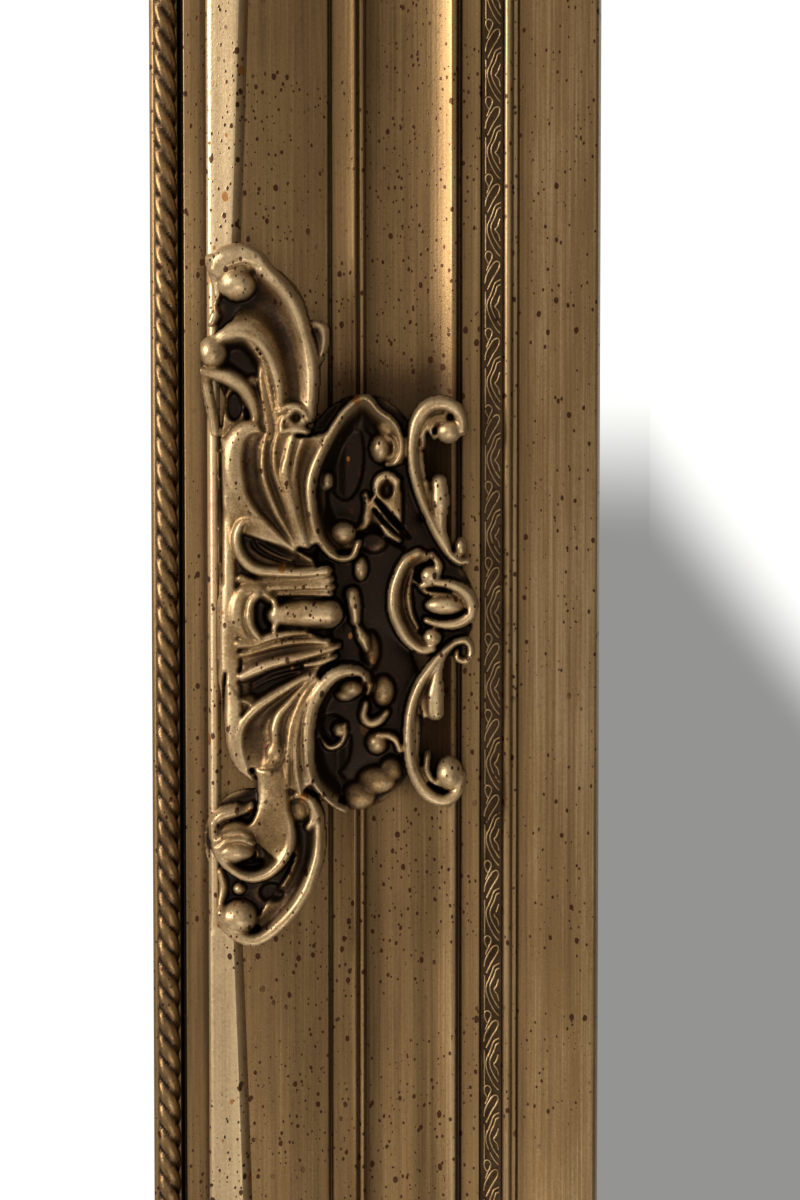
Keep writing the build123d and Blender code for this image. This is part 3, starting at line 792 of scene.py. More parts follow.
def carve_top_leaf(relief):
    """Leaf and curl at the top, and the knot below them."""
    mound, pit, ridge, groove, skin = relief.mound, relief.pit, relief.ridge, relief.groove, relief.skin
    # top leaf: gutter, rim, cap and ball
    rim = [(28.75, 85.75), (33, 82.5), (36.75, 78.5), (39, 73.5), (40.5, 68.75), (41.5, 63), (42, 58),
           (42, 53), (41.5, 48.25), (40.75, 43.75)]
    back = [(22.5, 72.75), (27.25, 73), (30.75, 70.25), (33.25, 66.25), (34.75, 61.25), (36, 56.25),
            (36.75, 51.25), (37.75, 47)]
    skin(rim, back, (42.8, 43.2, 43, 42.5, 42, 41.5), (39, 40.5, 41, 41, 41, 40.5),
         (5, 4.6, 3.6, 2.6, 1.6, 0.6))
    ridge([(17.5, 88.5), (20.5, 90.5), (24.75, 90.75), (28.5, 88.75), (31.25, 85), (34.5, 81.75),
           (37.5, 77.75), (39.75, 73), (41.25, 68.25), (42.5, 63.25), (43, 58.5), (42.75, 53),
           (42.25, 47.5)], (1.3, 1.6, 1.3, 1.2), (41.6, 42.9, 43.4, 43.2, 42.8, 42))
    mound(22.25, 86.75, 6.2, 4.7, 43.2, 4.5)
    ridge([(17.75, 85.75), (19.25, 88), (22.75, 89.25), (26.5, 88.5), (29.5, 86.25)], (1.6, 2.4, 2.6, 1.6),
          (42, 43.4, 43.4, 42.6))
    mound(23.5, 82.25, 5.2, 4.7, 43.8, 6)
    groove([(19.25, 82.5), (20, 84.75), (22.5, 86.25), (26, 87), (29.5, 86.25)], (0.3, 0.45, 0.3),
           (42.1, 41.6, 42.1))
    ridge([(16.5, 88.5), (17.5, 84.75), (18.5, 80.75), (18.5, 76.5), (16.75, 72)], (1.3, 1.5, 1.2),
          (40, 39, 38.5))
    ridge([(41.5, 70.5), (43.5, 71.5), (45.5, 70.25), (45.75, 66.25), (44.5, 61.75)], (1, 1.3, 0.8),
          (36.5, 37.2, 36))
    mound(43, 66.25, 2.7, 5, 36.6, 3)
    pit(20, 76.5, 1.9, 2.7, 7)
    # second curl: outside, lip, hollow, ball and tongue
    lip = [(17, 68), (20.5, 69), (25, 69), (28.75, 67.5), (31.5, 64), (33.5, 59.75), (34.5, 55), (35, 49.5)]
    skin(back, lip, (38.5, 40.3, 40.8, 41, 41, 40.7), (41, 42, 42.2, 42, 41.6, 41), (-1.2, -0.8, -0.2, 0.5))
    throat = [(17.5, 60), (21, 59), (24.25, 56.75), (26.75, 53.75), (28.5, 49.5), (29.5, 43.75)]
    skin([(20, 67.5), (24.75, 68), (28, 65.5), (30.5, 61.25), (32, 55.5), (33.25, 49.5), (34, 43.75)],
         throat, (42, 42, 41.5, 41.5, 41.5), (41, 40.5, 40.5, 40.5, 40.5), (5, 6.5, 5, 2.2, 0.8, 0.3))
    ridge([(18.75, 67.25), (21, 68.75), (25, 69), (28.75, 67.25), (31.5, 63.75), (33.25, 59.75), (34.5, 55),
           (34.75, 49.5), (34.5, 43.75)], (0.8, 1, 1.2, 1.3, 1.3), (42.2, 43, 42.8, 42.6, 41.8))
    skin([(29.5, 61.75), (29.75, 56.75), (30.75, 51.75), (31.75, 47)],
         [(31.5, 63.75), (33.25, 59.75), (34.5, 55), (34.75, 49.5)], 40.2, 41.8, 0.6)
    ridge([(29.5, 61.75), (29.75, 56.75), (30.75, 51.75), (31.75, 47), (32.25, 42.5)], (0.7, 1.3, 1.5),
          (39.5, 40.8, 41.6))
    mound(17, 64.25, 3.9, 4.6, 43.6, 6)
    mound(27.5, 56.75, 2, 1.9, 39.2, 2.5)
    ridge([(14.5, 59.5), (17.75, 58.75), (21.25, 57.75), (24.75, 55.5), (27, 52.25), (28.25, 48.75),
           (28.25, 45.75)], (1.3, 1.7, 1.6, 1.2), (41.3, 41.8, 41.4, 41))
    ridge([(15, 58), (16, 53), (17, 47.5), (17.5, 43.25)], (1.4, 1.2), (40, 38.6))
    pit(22.5, 50.25, 2.2, 3.9, 7)
    # knot
    mound(38, 47, 4.1, 4.1, 42.8, 4)
    ridge([(34.5, 48.75), (37, 50.25), (40.25, 49.5), (41.75, 47)], (0.6, 0.9, 0.7), (43, 43.6, 43))
    ridge([(35, 43.75), (35.5, 47), (37.75, 48.75)], (0.7, 0.6), (43.2, 43.4))
    ridge([(35.5, 43.75), (38.5, 44.25), (41.5, 43.75)], (0.8, 1, 0.8), (43.3, 43.5, 43.3))
    pit(38.75, 47.25, 1.5, 1.5, 2.5)


def carve_shoulder(relief):
    """Broad fluted leaf above the middle."""
    ridge, skin = relief.ridge, relief.skin
    outer = [(28.75, 46.25), (25.5, 46.5), (22.5, 44.5), (20.25, 41.25), (19.25, 37), (19.5, 32),
             (20.5, 27), (21.75, 22), (22.75, 18)]
    inner = [(29.5, 43.75), (27, 43.75), (25, 41.5), (24, 37.25), (24.25, 32), (25.25, 27.25), (27.75, 23),
             (31.75, 19), (38, 13)]
    flute_1 = [(31.25, 43.25), (30.25, 38.25), (30.25, 33.25), (31.5, 28.25), (33.75, 22.75),
               (36.25, 18.25), (38.75, 13.75)]
    flute_2 = [(34.25, 43.25), (33.25, 38.75), (33.5, 33.75), (35, 29), (36.75, 24), (38.25, 19), (40, 14.25)]
    flute_3 = [(38, 42.5), (36.75, 37.5), (36, 33.25), (37, 28.25), (38.25, 22.75), (39.5, 18.25), (41, 14)]
    flute_4 = [(40.75, 42), (39, 37), (38.25, 31.5), (39, 25.25), (40.25, 19.5), (41.75, 13.75)]
    skin(outer, inner, (39.6, 40.2, 40.2, 39.8, 39.6), (41.2, 41.5, 41.5, 41.2, 41), (-1.5, -1.5, -1))
    skin(inner, flute_1, (41.8, 41.6, 41), (41.3, 41.5, 41.2), (0.6, 2.2, 2, 0.6))
    skin(flute_1, flute_2, (41.4, 41.6, 41.2), (42, 42.2, 41.6), (0.6, 1.4, 0.5))
    skin(flute_2, flute_3, (42, 42.2, 41.5), (42.8, 43, 42), (0.3, 1.1, 0.4))
    skin(flute_3, flute_4, (42.8, 43, 42), (42.3, 42.3, 41.6), (0.4, 1.2, 0.4))
    skin(flute_4, [(48, 43.75), (45.75, 39.5), (43.75, 35), (42.5, 30.25), (42.5, 25.25), (43.25, 20.25),
                   (45, 15.25)], (42.2, 42.2, 41.6), (42, 42.8, 42.2), (2.2, 1.6, 0.6))
    ridge(inner, (0.6, 1, 1, 0.6), (41.9, 42.4, 42, 41.6))
    ridge(flute_1, (0.5, 0.8, 0.5), (41.6, 42, 41.6))
    ridge(flute_2, (0.6, 0.9, 0.6), (42.3, 42.6, 42))
    ridge(flute_3, (0.7, 1.3, 1.1, 0.6), (43, 43.5, 43.2, 42.2))
    ridge(flute_4, (0.5, 0.8, 0.5), (42.5, 42.8, 42))
    ridge([(20, 40.75), (19.25, 36.25), (19.5, 30.75), (20.5, 25.25), (21.75, 20.25), (21.75, 14),
           (21, 7.75), (20.5, 2.25)], (1.2, 1, 1.2), (40, 39.8, 39.6))


def carve_middle(relief):
    """Barrel across the middle, between two lens-shaped hollows with ribs."""
    pit, ridge, skin = relief.pit, relief.ridge, relief.skin
    # upper lens and the ribs below it
    skin([(27, 21), (29.5, 19.75), (32.5, 17.25), (35.75, 14.75), (38.75, 12.75), (43, 10.25)],
         [(23.25, 16.5), (23.75, 12.75), (25.75, 9.5), (29, 7.75), (33.75, 7), (39, 6.75), (44.75, 7)],
         (41.3, 41.3, 41.3, 40.6, 38), (41, 41.3, 41.2, 40, 38), (3.5, 5.5, 4.5, 2.5, 0.5))
    ridge([(27, 21.25), (29.5, 20), (32.5, 17.5), (35.75, 14.75), (38.25, 13)], (0.6, 0.8, 0.6),
          (41.8, 42, 41.7))
    ridge([(27, 21.25), (24.5, 19.75), (23.25, 16.5), (23.75, 12.75), (25.75, 9.5), (29, 7.5), (33.75, 7),
           (39.75, 6.75), (46.75, 7.25)], (0.9, 1.1, 1.2, 1), (41.8, 42, 42.2, 41.6))
    ridge([(26.5, 17.75), (29, 14), (33, 11.5), (37.5, 10)], (0.5, 0.6, 0.4), (37.6, 37.8, 38.6))
    ridge([(25.5, 14.5), (28.75, 11.25), (33.75, 9.25), (38, 8.5)], (0.5, 0.6, 0.4), (38, 38.2, 39))
    ridge([(28.75, 4.75), (36.75, 5), (47.5, 5)], (0.7, 1, 0.8), (40, 40.6, 40.4))
    ridge([(30, 2), (38, 2.75), (48, 3)], (0.6, 0.8, 0.7), (39.6, 40.2, 40))
    ridge([(24.25, 5.25), (27.75, 4.25), (31.75, 3.5)], (1.3, 1, 0.6), (40.4, 40.6, 39.8))
    # barrel and bell
    ridge([(33.25, -4.25), (36.75, -4), (41, -3.75), (47, -4)], (2.4, 3, 3.4, 2.9), (42.2, 42.8, 43.2, 42.6))
    ridge([(31.75, 0.25), (29.5, 2), (25.5, 2), (23.75, -1), (23.5, -4.75), (25, -9), (28, -10.5)],
          (1.5, 2.1, 2.3, 2.1, 1.3), (40.6, 41.6, 42, 41.8, 40.8))
    ridge([(28.75, 1.25), (27, -0.75), (26.5, -4.25), (27, -7.25), (29, -10)], (0.8, 1, 0.8),
          (42.2, 42.7, 42.2))
    pit(30, -4, 2.7, 5, 1)
    ridge([(33, -0.5), (33.75, -4), (33, -7.75)], (0.8, 1, 0.8), (41.6, 41.8, 41.6))
    ridge([(31.75, 3), (38, 3.25), (47, 3.5)], (0.8, 1, 0.8), (40.8, 41, 40.6))
    ridge([(33.75, 1.25), (39.75, 1.5), (47.5, 1.25)], (0.6, 0.8, 0.7), (40, 40.4, 40.2))
    # strip beside the swept edge
    skin([(19.5, 25), (19.25, 11.25), (19.25, 4.5), (19, -4.75), (19, -14.25), (19.25, -23.5)],
         [(21.75, 25), (22.5, 11.25), (22.5, 4.5), (22.5, -3), (23.5, -14.25), (23.5, -21.5), (24, -27)],
         (38, 39.4, 39.6, 39.6), (38.6, 40.4, 40.4, 40.6), (-0.4, -0.6, -0.4))
    # lower ribs and lens
    skin([(24.75, -11.75), (27.75, -11.5), (31.75, -10), (36.75, -8.75), (42.25, -8.75)],
         [(24.25, -14.5), (28.75, -13.25), (34.25, -11.75), (40.5, -11), (46.75, -11.25)], (41.2, 41, 40.6),
         (40.2, 40.4, 40.2), (1, 1.6, 0.8))
    ridge([(23.75, -11.75), (27.75, -11.5), (31.75, -10), (36.75, -9), (41, -8.75)], (1.2, 1.2, 0.8),
          (41.4, 41.5, 40.8))
    shelf = [(24.25, -14.5), (28.75, -13.25), (34.25, -11.75), (40.5, -11), (47, -11.25)]
    ridge(shelf, (0.7, 0.8, 0.6), (40.8, 41, 40.4))
    lens = [(24.5, -20.25), (27.5, -18.75), (31.75, -17), (36.75, -15.75), (42.25, -14.5), (49.5, -12.5)]
    skin(shelf, lens, (40.8, 40.8, 40.3), (41.6, 41.6, 41), (1.4, 2, 1))
    skin(lens, [(24.25, -26.5), (28.5, -28), (31.75, -25.75), (35.75, -23.5), (39.75, -21),
                (43.75, -19.25)], (41.6, 41.5, 41), (41, 41.4, 41), (4, 6, 4.5, 1.5))
    ridge(lens, (1, 1.2, 1, 0.6), (42, 42.4, 42, 41))
    ridge([(41, -17.25), (45.25, -16.5), (48.75, -15.25)], (0.6, 0.8, 0.6), (40.8, 41, 40.6))
    ridge([(25.5, -24.75), (30.5, -21.5), (36.75, -19.5), (41, -18.75)], (0.4, 0.6, 0.4), (37, 37.5, 38.8))


def carve_lower_flutes(relief):
    """Fluted leaf below the middle."""
    mound, ridge, groove, skin = relief.mound, relief.ridge, relief.groove, relief.skin
    bend = [(25.75, -44.5), (24.5, -40.25), (24, -35.5), (25.25, -31.75), (28.25, -28.5), (31.75, -26),
            (36.25, -23.25), (40.5, -20.75), (43.75, -19.5)]
    fold_1 = [(31.75, -42.75), (33.25, -38.25), (33.25, -34), (34.25, -30.25), (37, -27), (40, -23.5),
              (43.25, -20)]
    fold_2 = [(36.25, -49), (36.5, -42.75), (37, -37.25), (37.75, -32.5), (39.25, -28.25), (41.5, -24),
              (44.25, -20.75)]
    fold_3 = [(39.75, -50.75), (38.75, -45.25), (38.5, -39), (39, -34), (40, -29.75), (42.25, -25.5),
              (45.25, -22)]
    skin([(19.75, -20.25), (19.75, -26), (19.75, -31.5), (20.25, -37.75), (21.75, -42.25), (23.75, -45.25),
          (27, -47.75)], [(24.25, -27), (24.25, -30.25), (24, -35.5), (24.5, -39), (25.25, -42.75),
                          (26.5, -45.25), (28, -47.75)], (39.8, 40, 40, 40), (41, 41.6, 41.4, 41),
         (-0.8, -0.9, -0.5))
    skin(bend, fold_1, (41.4, 41.8, 41.8, 41.2), (41.6, 42, 41.8, 41.2), (0.8, 2.6, 1.8, 0.4))
    skin(fold_1, fold_2, (41.8, 42, 41.8, 41.2), (42.2, 42.6, 42, 41.4), (0.6, 1.2, 0.8, 0.3))
    skin(fold_2, fold_3, (42.2, 42.6, 42, 41.4), (42.3, 42.8, 42.4, 41.6), (0.6, 1, 0.8, 0.3))
    skin(fold_3, [(43, -47.75), (41.75, -42.75), (41.5, -37.75), (41.75, -32.75), (42.75, -27.75),
                  (45, -23.5), (46.75, -21.25)], (42.3, 42.8, 42.4, 41.6), (42, 42.6, 42.6, 41.8),
         (0.8, 1.2, 0.8, 0.3))
    ridge(bend, (0.6, 1.1, 1.1, 0.8, 0.5), (41.4, 42.2, 42.4, 42, 41.4))
    ridge(fold_1, (1, 1.2, 0.8, 0.5), (42.2, 42.6, 42.2, 41.4))
    ridge(fold_2, (0.6, 0.9, 0.8, 0.5), (42.3, 42.9, 42.4, 41.5))
    ridge(fold_3, (0.6, 0.8, 0.8, 0.5), (42.4, 43, 42.6, 41.7))
    mound(33.25, -40.25, 2.7, 3.2, 42.8, 2.5)
    mound(26, -27.75, 2.9, 2.7, 40, 2)
    mound(31.25, -44.5, 4.3, 3.5, 41, 2.5)
    ridge([(32.5, -40.25), (31.25, -45.25), (31.5, -51.5), (32.5, -57)], (1.6, 2.4, 2.2, 1.2),
          (41.8, 41.6, 41.6, 41.4))
    mound(38.25, -50.5, 2.7, 2.5, 40.5, 2)
    groove([(20, -19.5), (19.5, -25.25), (19.25, -31.5), (19.75, -37.75)], (0.4, 0.8, 0.6), (36, 35, 35.5))


def carve_tail(relief):
    """Neck, shell and tail at the bottom."""
    mound, pit, ridge, skin = relief.mound, relief.pit, relief.ridge, relief.skin
    # neck and shell
    edge = [(34.5, -45.25), (35.75, -50.25), (36, -55.25), (37, -60), (36.75, -65), (34.25, -69.5),
            (30.5, -72.5), (26.25, -73.25), (21.75, -71), (18.5, -67.5), (17.25, -63.25), (17, -58.75)]
    skin([(27.75, -44.5), (28.75, -49.5), (28.5, -54.5), (27.25, -58.25), (25, -60), (23, -60)],
         [(34.5, -45.25), (35.75, -50.25), (36, -55.25), (37, -60), (36.75, -65), (34.5, -69)],
         (40.2, 40.5, 41, 41, 40.5), (41.8, 42.2, 42.4, 42), (-1.4, -1.2, -0.4, 1.4))
    skin([(23, -60), (25.5, -63.25), (27.75, -65.75), (27.5, -68.75), (24.25, -69.5), (21.25, -68.75),
          (19, -67)], [(37, -60.75), (36.5, -65.5), (34.25, -69.5), (30.5, -72.5), (26.25, -73),
                       (21.75, -70.75), (18.75, -67.5)], (40.5, 40, 39, 39, 40), (42.2, 42, 41.8, 41.6),
         (1.5, 2.8, 3, 2, 1))
    ridge(edge, (0.8, 1.1, 1.1, 1, 1.1), (42, 42.6, 42.6, 42.2, 42.2, 42))
    mound(22.5, -63.25, 5.7, 5.2, 42.8, 4)
    mound(22.5, -66.25, 5.1, 3.2, 43.6, 4.5)
    pit(26.5, -69.75, 3.7, 2.1, 3)
    ridge([(18, -63.25), (20, -61.75), (23.75, -61), (26.5, -62.25)], (0.5, 0.7, 0.5), (43, 43.4, 42.8))
    ridge([(18.25, -65.25), (20.5, -63.25), (24.25, -62.75), (27.25, -64)], (0.5, 0.7, 0.5), (43.2, 43.7, 43))
    ridge([(17.25, -58.5), (19.25, -56.75), (22.5, -55.75), (25, -55), (26.5, -54.5)], (1.3, 1.5, 1.3, 0.9),
          (41.6, 42, 41.4, 41))
    pit(24.75, -50.75, 2.7, 4.7, 7)
    # tail
    sweep = [(42.75, -53), (44.25, -57), (44.5, -62.25), (44.25, -67), (43, -72), (41, -77), (38, -81.75),
             (34.5, -85.5), (31, -88.5)]
    skin(sweep, [(37.5, -60.5), (38.25, -63.75), (38, -68.25), (36.5, -72.5), (34.25, -76.25),
                 (31.75, -79.25), (29.5, -82.5), (28, -85.5)], (40.8, 41.4, 41.4, 41),
         (38.6, 38.4, 38.2, 38.6), (2.2, 3.4, 3.2, 1.5))
    ridge([(42.75, -53), (44.25, -57), (44.5, -62.25), (44.25, -67), (43, -72), (41, -77), (38, -81.75),
           (34.5, -85.5), (31, -88.5), (27.25, -90), (23.5, -88.75), (20, -86), (19, -82.5)],
          (0.9, 1.3, 1.5, 1.6, 1.4), (41.2, 42, 42, 41.8, 41.6))
    mound(39.25, -55.25, 3.1, 3.5, 40.6, 3)
    ridge([(36.25, -55.25), (36.5, -52.75), (38.75, -51.5), (41.5, -52.25), (43, -54.5), (43, -58),
           (41.75, -60)], (0.6, 0.8, 0.9, 0.8), (40.6, 41.8, 41.6, 41))
    mound(23.5, -84, 5, 4.6, 43.2, 6)
    mound(23.5, -76.5, 1.7, 1.6, 39.6, 2.5)
    pit(32, -77.75, 3.5, 2.7, 4)
    ridge([(18.5, -72), (19.25, -76.25), (18.5, -80.5)], (0.9, 1, 0.9), (38.6, 38.2, 38.6))


def carve_upper_scroll(relief):
    """Big scroll above the middle, with a hooked leaf and rays."""
    mound, pit, ridge, groove, skin = relief.mound, relief.pit, relief.ridge, relief.groove, relief.skin
    # big upper scroll
    pit(51.25, 37, 5.2, 11.8, 8)
    skin([(53, 50.25), (50.5, 47.5), (48, 43.75), (45.75, 39.5), (43.75, 35), (42.5, 30.25), (42.5, 25.25),
          (43.25, 20.25), (45, 15.25), (47.75, 11.75)],
         [(56.75, 47), (54.25, 43.75), (52, 40), (50.5, 36.25), (49.5, 32), (49.25, 27.75), (49.5, 24),
          (50.5, 20.25), (51.75, 16.5), (52.25, 13.25)], (38.5, 40.5, 41.8, 41.8, 41), (30, 28, 27, 29, 33),
         (1.5, 2.5, 2.5, 1))
    skin([(53, 50.25), (56, 52.5), (60.25, 49), (63.75, 46.5), (65.75, 43.25), (66, 38.75), (64.75, 35.75)],
         [(54.25, 43.75), (56, 45), (57.5, 43.75), (58.75, 42), (59.5, 39.5), (60.25, 37), (62.25, 35.5)],
         (38.5, 38.2, 37.6, 37, 36.5), (30, 31, 32, 33, 34), (1.5, 2, 1.5, 0.5))
    ridge([(62.25, 35), (64.75, 35.5), (66.25, 38.75), (65.75, 43), (63.75, 46.5), (60.25, 49), (58, 51.75),
           (56, 52.5), (53, 50.5), (50.5, 47.75), (48, 43.75), (45.75, 39.5), (43.75, 35), (42.5, 30.25),
           (42.5, 25.25), (43.25, 20.25), (45, 15.25), (47.75, 11.75), (50.5, 10.5), (53.5, 11.25),
           (55, 14.75)], (0.5, 0.6, 0.6, 0.7, 0.9, 1.1, 1, 0.8, 0.6),
          (36.2, 37.4, 38.2, 39, 41, 42.7, 42.7, 41.8, 40.6, 39.6))
    ridge([(67.25, 42), (67.25, 38.75), (66, 35.5)], (0.5, 0.7, 0.5), (35.6, 36, 35))
    mound(60.75, 39.25, 2.9, 3.9, 37.4, 5)
    ridge([(62.25, 42.5), (64.25, 40.75), (64.25, 38), (62.75, 36.5)], (0.5, 0.7, 0.5), (36, 36.4, 35.8))
    mound(62.25, 44.75, 2.6, 2.7, 35.6, 2.5)
    mound(46.5, 30.75, 2, 2.7, 36, 3)
    mound(50.75, 16.75, 3.9, 3.4, 38.8, 5.5)
    mound(52, 14, 3.1, 2.1, 36.6, 3)
    # hooked leaf and rays
    skin([(59.5, 28.5), (60.5, 31.25), (63, 32.25), (65.25, 30.75), (66.25, 27)],
         [(56, 20.25), (58.75, 19.5), (61.25, 18.25), (63.75, 17.5), (66, 16.5)], (36, 36.6, 36, 35),
         (33, 33, 33, 32), (-1, -1.4, -0.6))
    ridge([(59.25, 28.5), (60.25, 31.25), (63, 32.25), (65.25, 30.75)], (0.7, 1, 0.7), (36.6, 37.4, 36.4))
    ridge([(56.75, 27), (57.5, 23.25), (56.75, 19.5), (55.25, 18.25)], (0.8, 1.2, 0.9), (35, 35.6, 34.6))
    groove([(59.75, 25.75), (62.75, 22), (66, 18.25), (68.25, 15.5)], (0.35, 0.75, 0.45), (28.5, 26.8, 26.8))
    groove([(58, 18.75), (61, 16.5), (64.75, 14), (67, 12.5)], (0.35, 0.6, 0.4), (28.5, 27, 27))
    groove([(59, 23.25), (62, 19.5), (65, 16.5)], (0.25, 0.4, 0.3), (30, 29, 28))
    ridge([(61, 19), (62.75, 17), (65.5, 15)], (0.6, 0.9, 0.6), (34.8, 35.4, 34))
    mound(58.75, 14.5, 3.7, 2.9, 32.8, 1.5)


def carve_inner_side(relief):
    """Hooks along the inner side, with the button between them."""
    mound, pit, ridge, groove, skin = relief.mound, relief.pit, relief.ridge, relief.groove, relief.skin
    # upper hook
    skin([(76, 51), (72.25, 48.75), (69.75, 44.5), (69, 38.75), (69.75, 33.25), (71.5, 27.75), (73.75, 22),
          (76, 17), (78.5, 12.75)], [(77.25, 47.5), (74.25, 46.5), (72.5, 43.75), (71.75, 39.5),
                                     (72.25, 34.5), (73, 30.25), (74.25, 25.75), (75.5, 21.5),
                                     (77.75, 15.25)], (36.6, 36.8, 36.4, 36, 35),
         (34.2, 33.4, 33, 33.4, 33.8), (0.8, 1.4, 1.4, 0.6))
    ridge([(82, 44), (81.75, 47), (80, 49.75), (76.5, 51), (73, 50), (70.25, 46.25), (69, 41.25),
           (69, 36.25), (69.75, 31.5), (71.5, 25.75), (73.75, 20.5), (76, 16), (78.5, 12), (81.25, 9.5),
           (83.75, 9.5)], (1.2, 1.6, 1.6, 1.1, 1, 1, 0.8), (35.6, 36.6, 37.2, 37, 36.8, 36.2, 35, 34))
    ridge([(71.75, 39.75), (72, 43.75), (74.25, 47), (77.75, 48)], (0.7, 0.9, 0.7), (34.8, 35.6, 35.2))
    mound(78.5, 43.75, 3.6, 3.4, 37, 5)
    ridge([(74.75, 42), (73.75, 44), (75.25, 46.25), (77.75, 47)], (0.5, 0.7, 0.5), (35.2, 35.6, 35.2))
    pit(75.25, 36.75, 2.7, 3.5, 6)
    ridge([(76, 30.25), (76.25, 26.5), (76.25, 22), (76.75, 17.75), (78.5, 13.25)], (1.7, 2, 1.2, 0.8),
          (35.8, 36.6, 35.6, 35))
    ridge([(72.5, 30.25), (73, 26.5), (74.25, 22)], (0.8, 1.1, 0.6), (34.4, 35, 34))
    mound(81.75, 13.25, 1.7, 2.7, 34.6, 3)
    # small scroll and button
    skin([(74.25, 11.5), (70.5, 12), (67.5, 10), (65.5, 6.5), (64.25, 2.25), (64, -2.25), (64, -6.5)],
         [(72.75, 9.25), (71, 8.75), (69.25, 7.25), (68.5, 4.75), (67.75, 1.5), (67.75, -2.25), (68, -6)],
         (36.4, 36.8, 36.8, 36.6), (33.5, 33, 32.5), (0.5, 1.2, 0.8))
    mound(73.75, 5.75, 2.9, 2.9, 37, 4.5)
    ridge([(74.25, 11.25), (75.75, 9), (76, 6.5)], (0.7, 0.9, 0.7), (35.4, 36, 35.6))
    skin([(64, 0.25), (64.5, -4.75), (66, -8.5), (68.25, -11.75), (71.25, -13.75)],
         [(67.75, 0.25), (68.5, -4.25), (69.75, -7.25), (71.25, -9.75), (72.75, -11)], (36.6, 36.6, 36.2),
         (32.5, 33, 33.5), (0.8, 1.2, 0.8))
    ridge([(70.5, 11.75), (67.5, 10), (65.5, 6.5), (64.25, 2.25), (64, -2.25), (64.75, -5.5),
           (66.25, -8.75), (68.5, -11.75), (71.5, -13.75), (74.25, -13.25)], (1, 1.2, 1.2, 1),
          (36.8, 37.2, 37.2, 36.4))
    ridge([(69.25, 7.25), (68.25, 3.5), (68, -0.5), (68.75, -4.5), (70.5, -8)], (0.5, 0.8, 0.6),
          (34, 34.6, 34))
    mound(74.25, -10.5, 2.6, 2.6, 37, 4.5)
    ridge([(71.5, 3.25), (75.25, 4), (79.5, 3.25), (83, 1.25), (84.75, -1.75), (84, -4.75), (80.75, -6.75),
           (76.5, -7), (72.75, -6)], (0.8, 1.1, 1.3, 1.2, 0.8), (35.6, 36.4, 36.8, 36.4, 35.4))
    mound(77.75, -2, 5.5, 2.7, 37.4, 4.5)
    groove([(72.25, 0.5), (76, 0.5), (80.25, 0.25)], (0.3, 0.5, 0.3), (34, 33.4, 34.2))
    groove([(72.25, -4.25), (76.5, -4.75), (80.75, -4.25)], (0.3, 0.5, 0.3), (34, 33.4, 34.2))
    ridge([(69.25, 4.75), (72.75, 1.5), (77.75, 0.75), (82.75, -0.25)], (0.5, 0.8, 0.8), (33.6, 34.6, 35))
    # lower hook
    skin([(77.25, -14.25), (74.25, -18), (71.25, -22.25), (69.25, -27), (68.25, -31.75), (68, -36.75),
          (68.25, -41.5), (69.5, -46.5), (71.75, -50.25)],
         [(75.25, -20.25), (73.75, -22.75), (72.25, -26), (71.25, -29.75), (70.75, -34), (70.75, -38.25),
          (71, -42), (71.75, -45.25), (73.5, -47.75)], (35.4, 36.2, 36.6, 36.8, 36.8), (34, 33.4, 33, 33.4),
         (0.6, 1.4, 1.2, 0.6))
    ridge([(80.5, -11.75), (77.25, -14.25), (74.25, -18), (71.25, -22.25), (69.25, -27), (68.25, -31.75),
           (68, -36.75), (68.25, -41.5), (69.5, -46.5), (71.75, -50.5), (74.75, -53), (78, -53.5),
           (80.75, -51.5), (82, -47.5)], (0.8, 1, 1.1, 1.1, 1.2, 1.5, 1.4, 1.1),
          (34.6, 36, 36.8, 37, 37, 36.8, 36.4, 35.4))
    mound(78.75, -46.75, 3.7, 4.6, 37.6, 6)
    ridge([(73, -41.75), (72.75, -45.25), (74.25, -48.25), (76.5, -49.5)], (0.7, 0.9, 0.7), (34.6, 35.2, 35))
    ridge([(80, -12), (77.25, -15), (75.75, -19), (75.25, -22.75), (75, -26.5), (75, -30.25)],
          (0.7, 0.9, 1.3, 2, 1.9), (35, 35.2, 35.8, 36.4, 36))
    ridge([(72.5, -24.75), (71.75, -27.75), (72.25, -31.5)], (0.6, 0.9, 0.6), (34, 34.6, 34))
    pit(74.75, -36.25, 2.7, 3.1, 6)
    ridge([(80.5, -11.75), (83.25, -11.5), (84.5, -14.25), (83.25, -16.75), (81, -16.25), (80.75, -14.5)],
          (0.7, 0.8, 0.8, 0.6), (34.8, 35.2, 34.6))


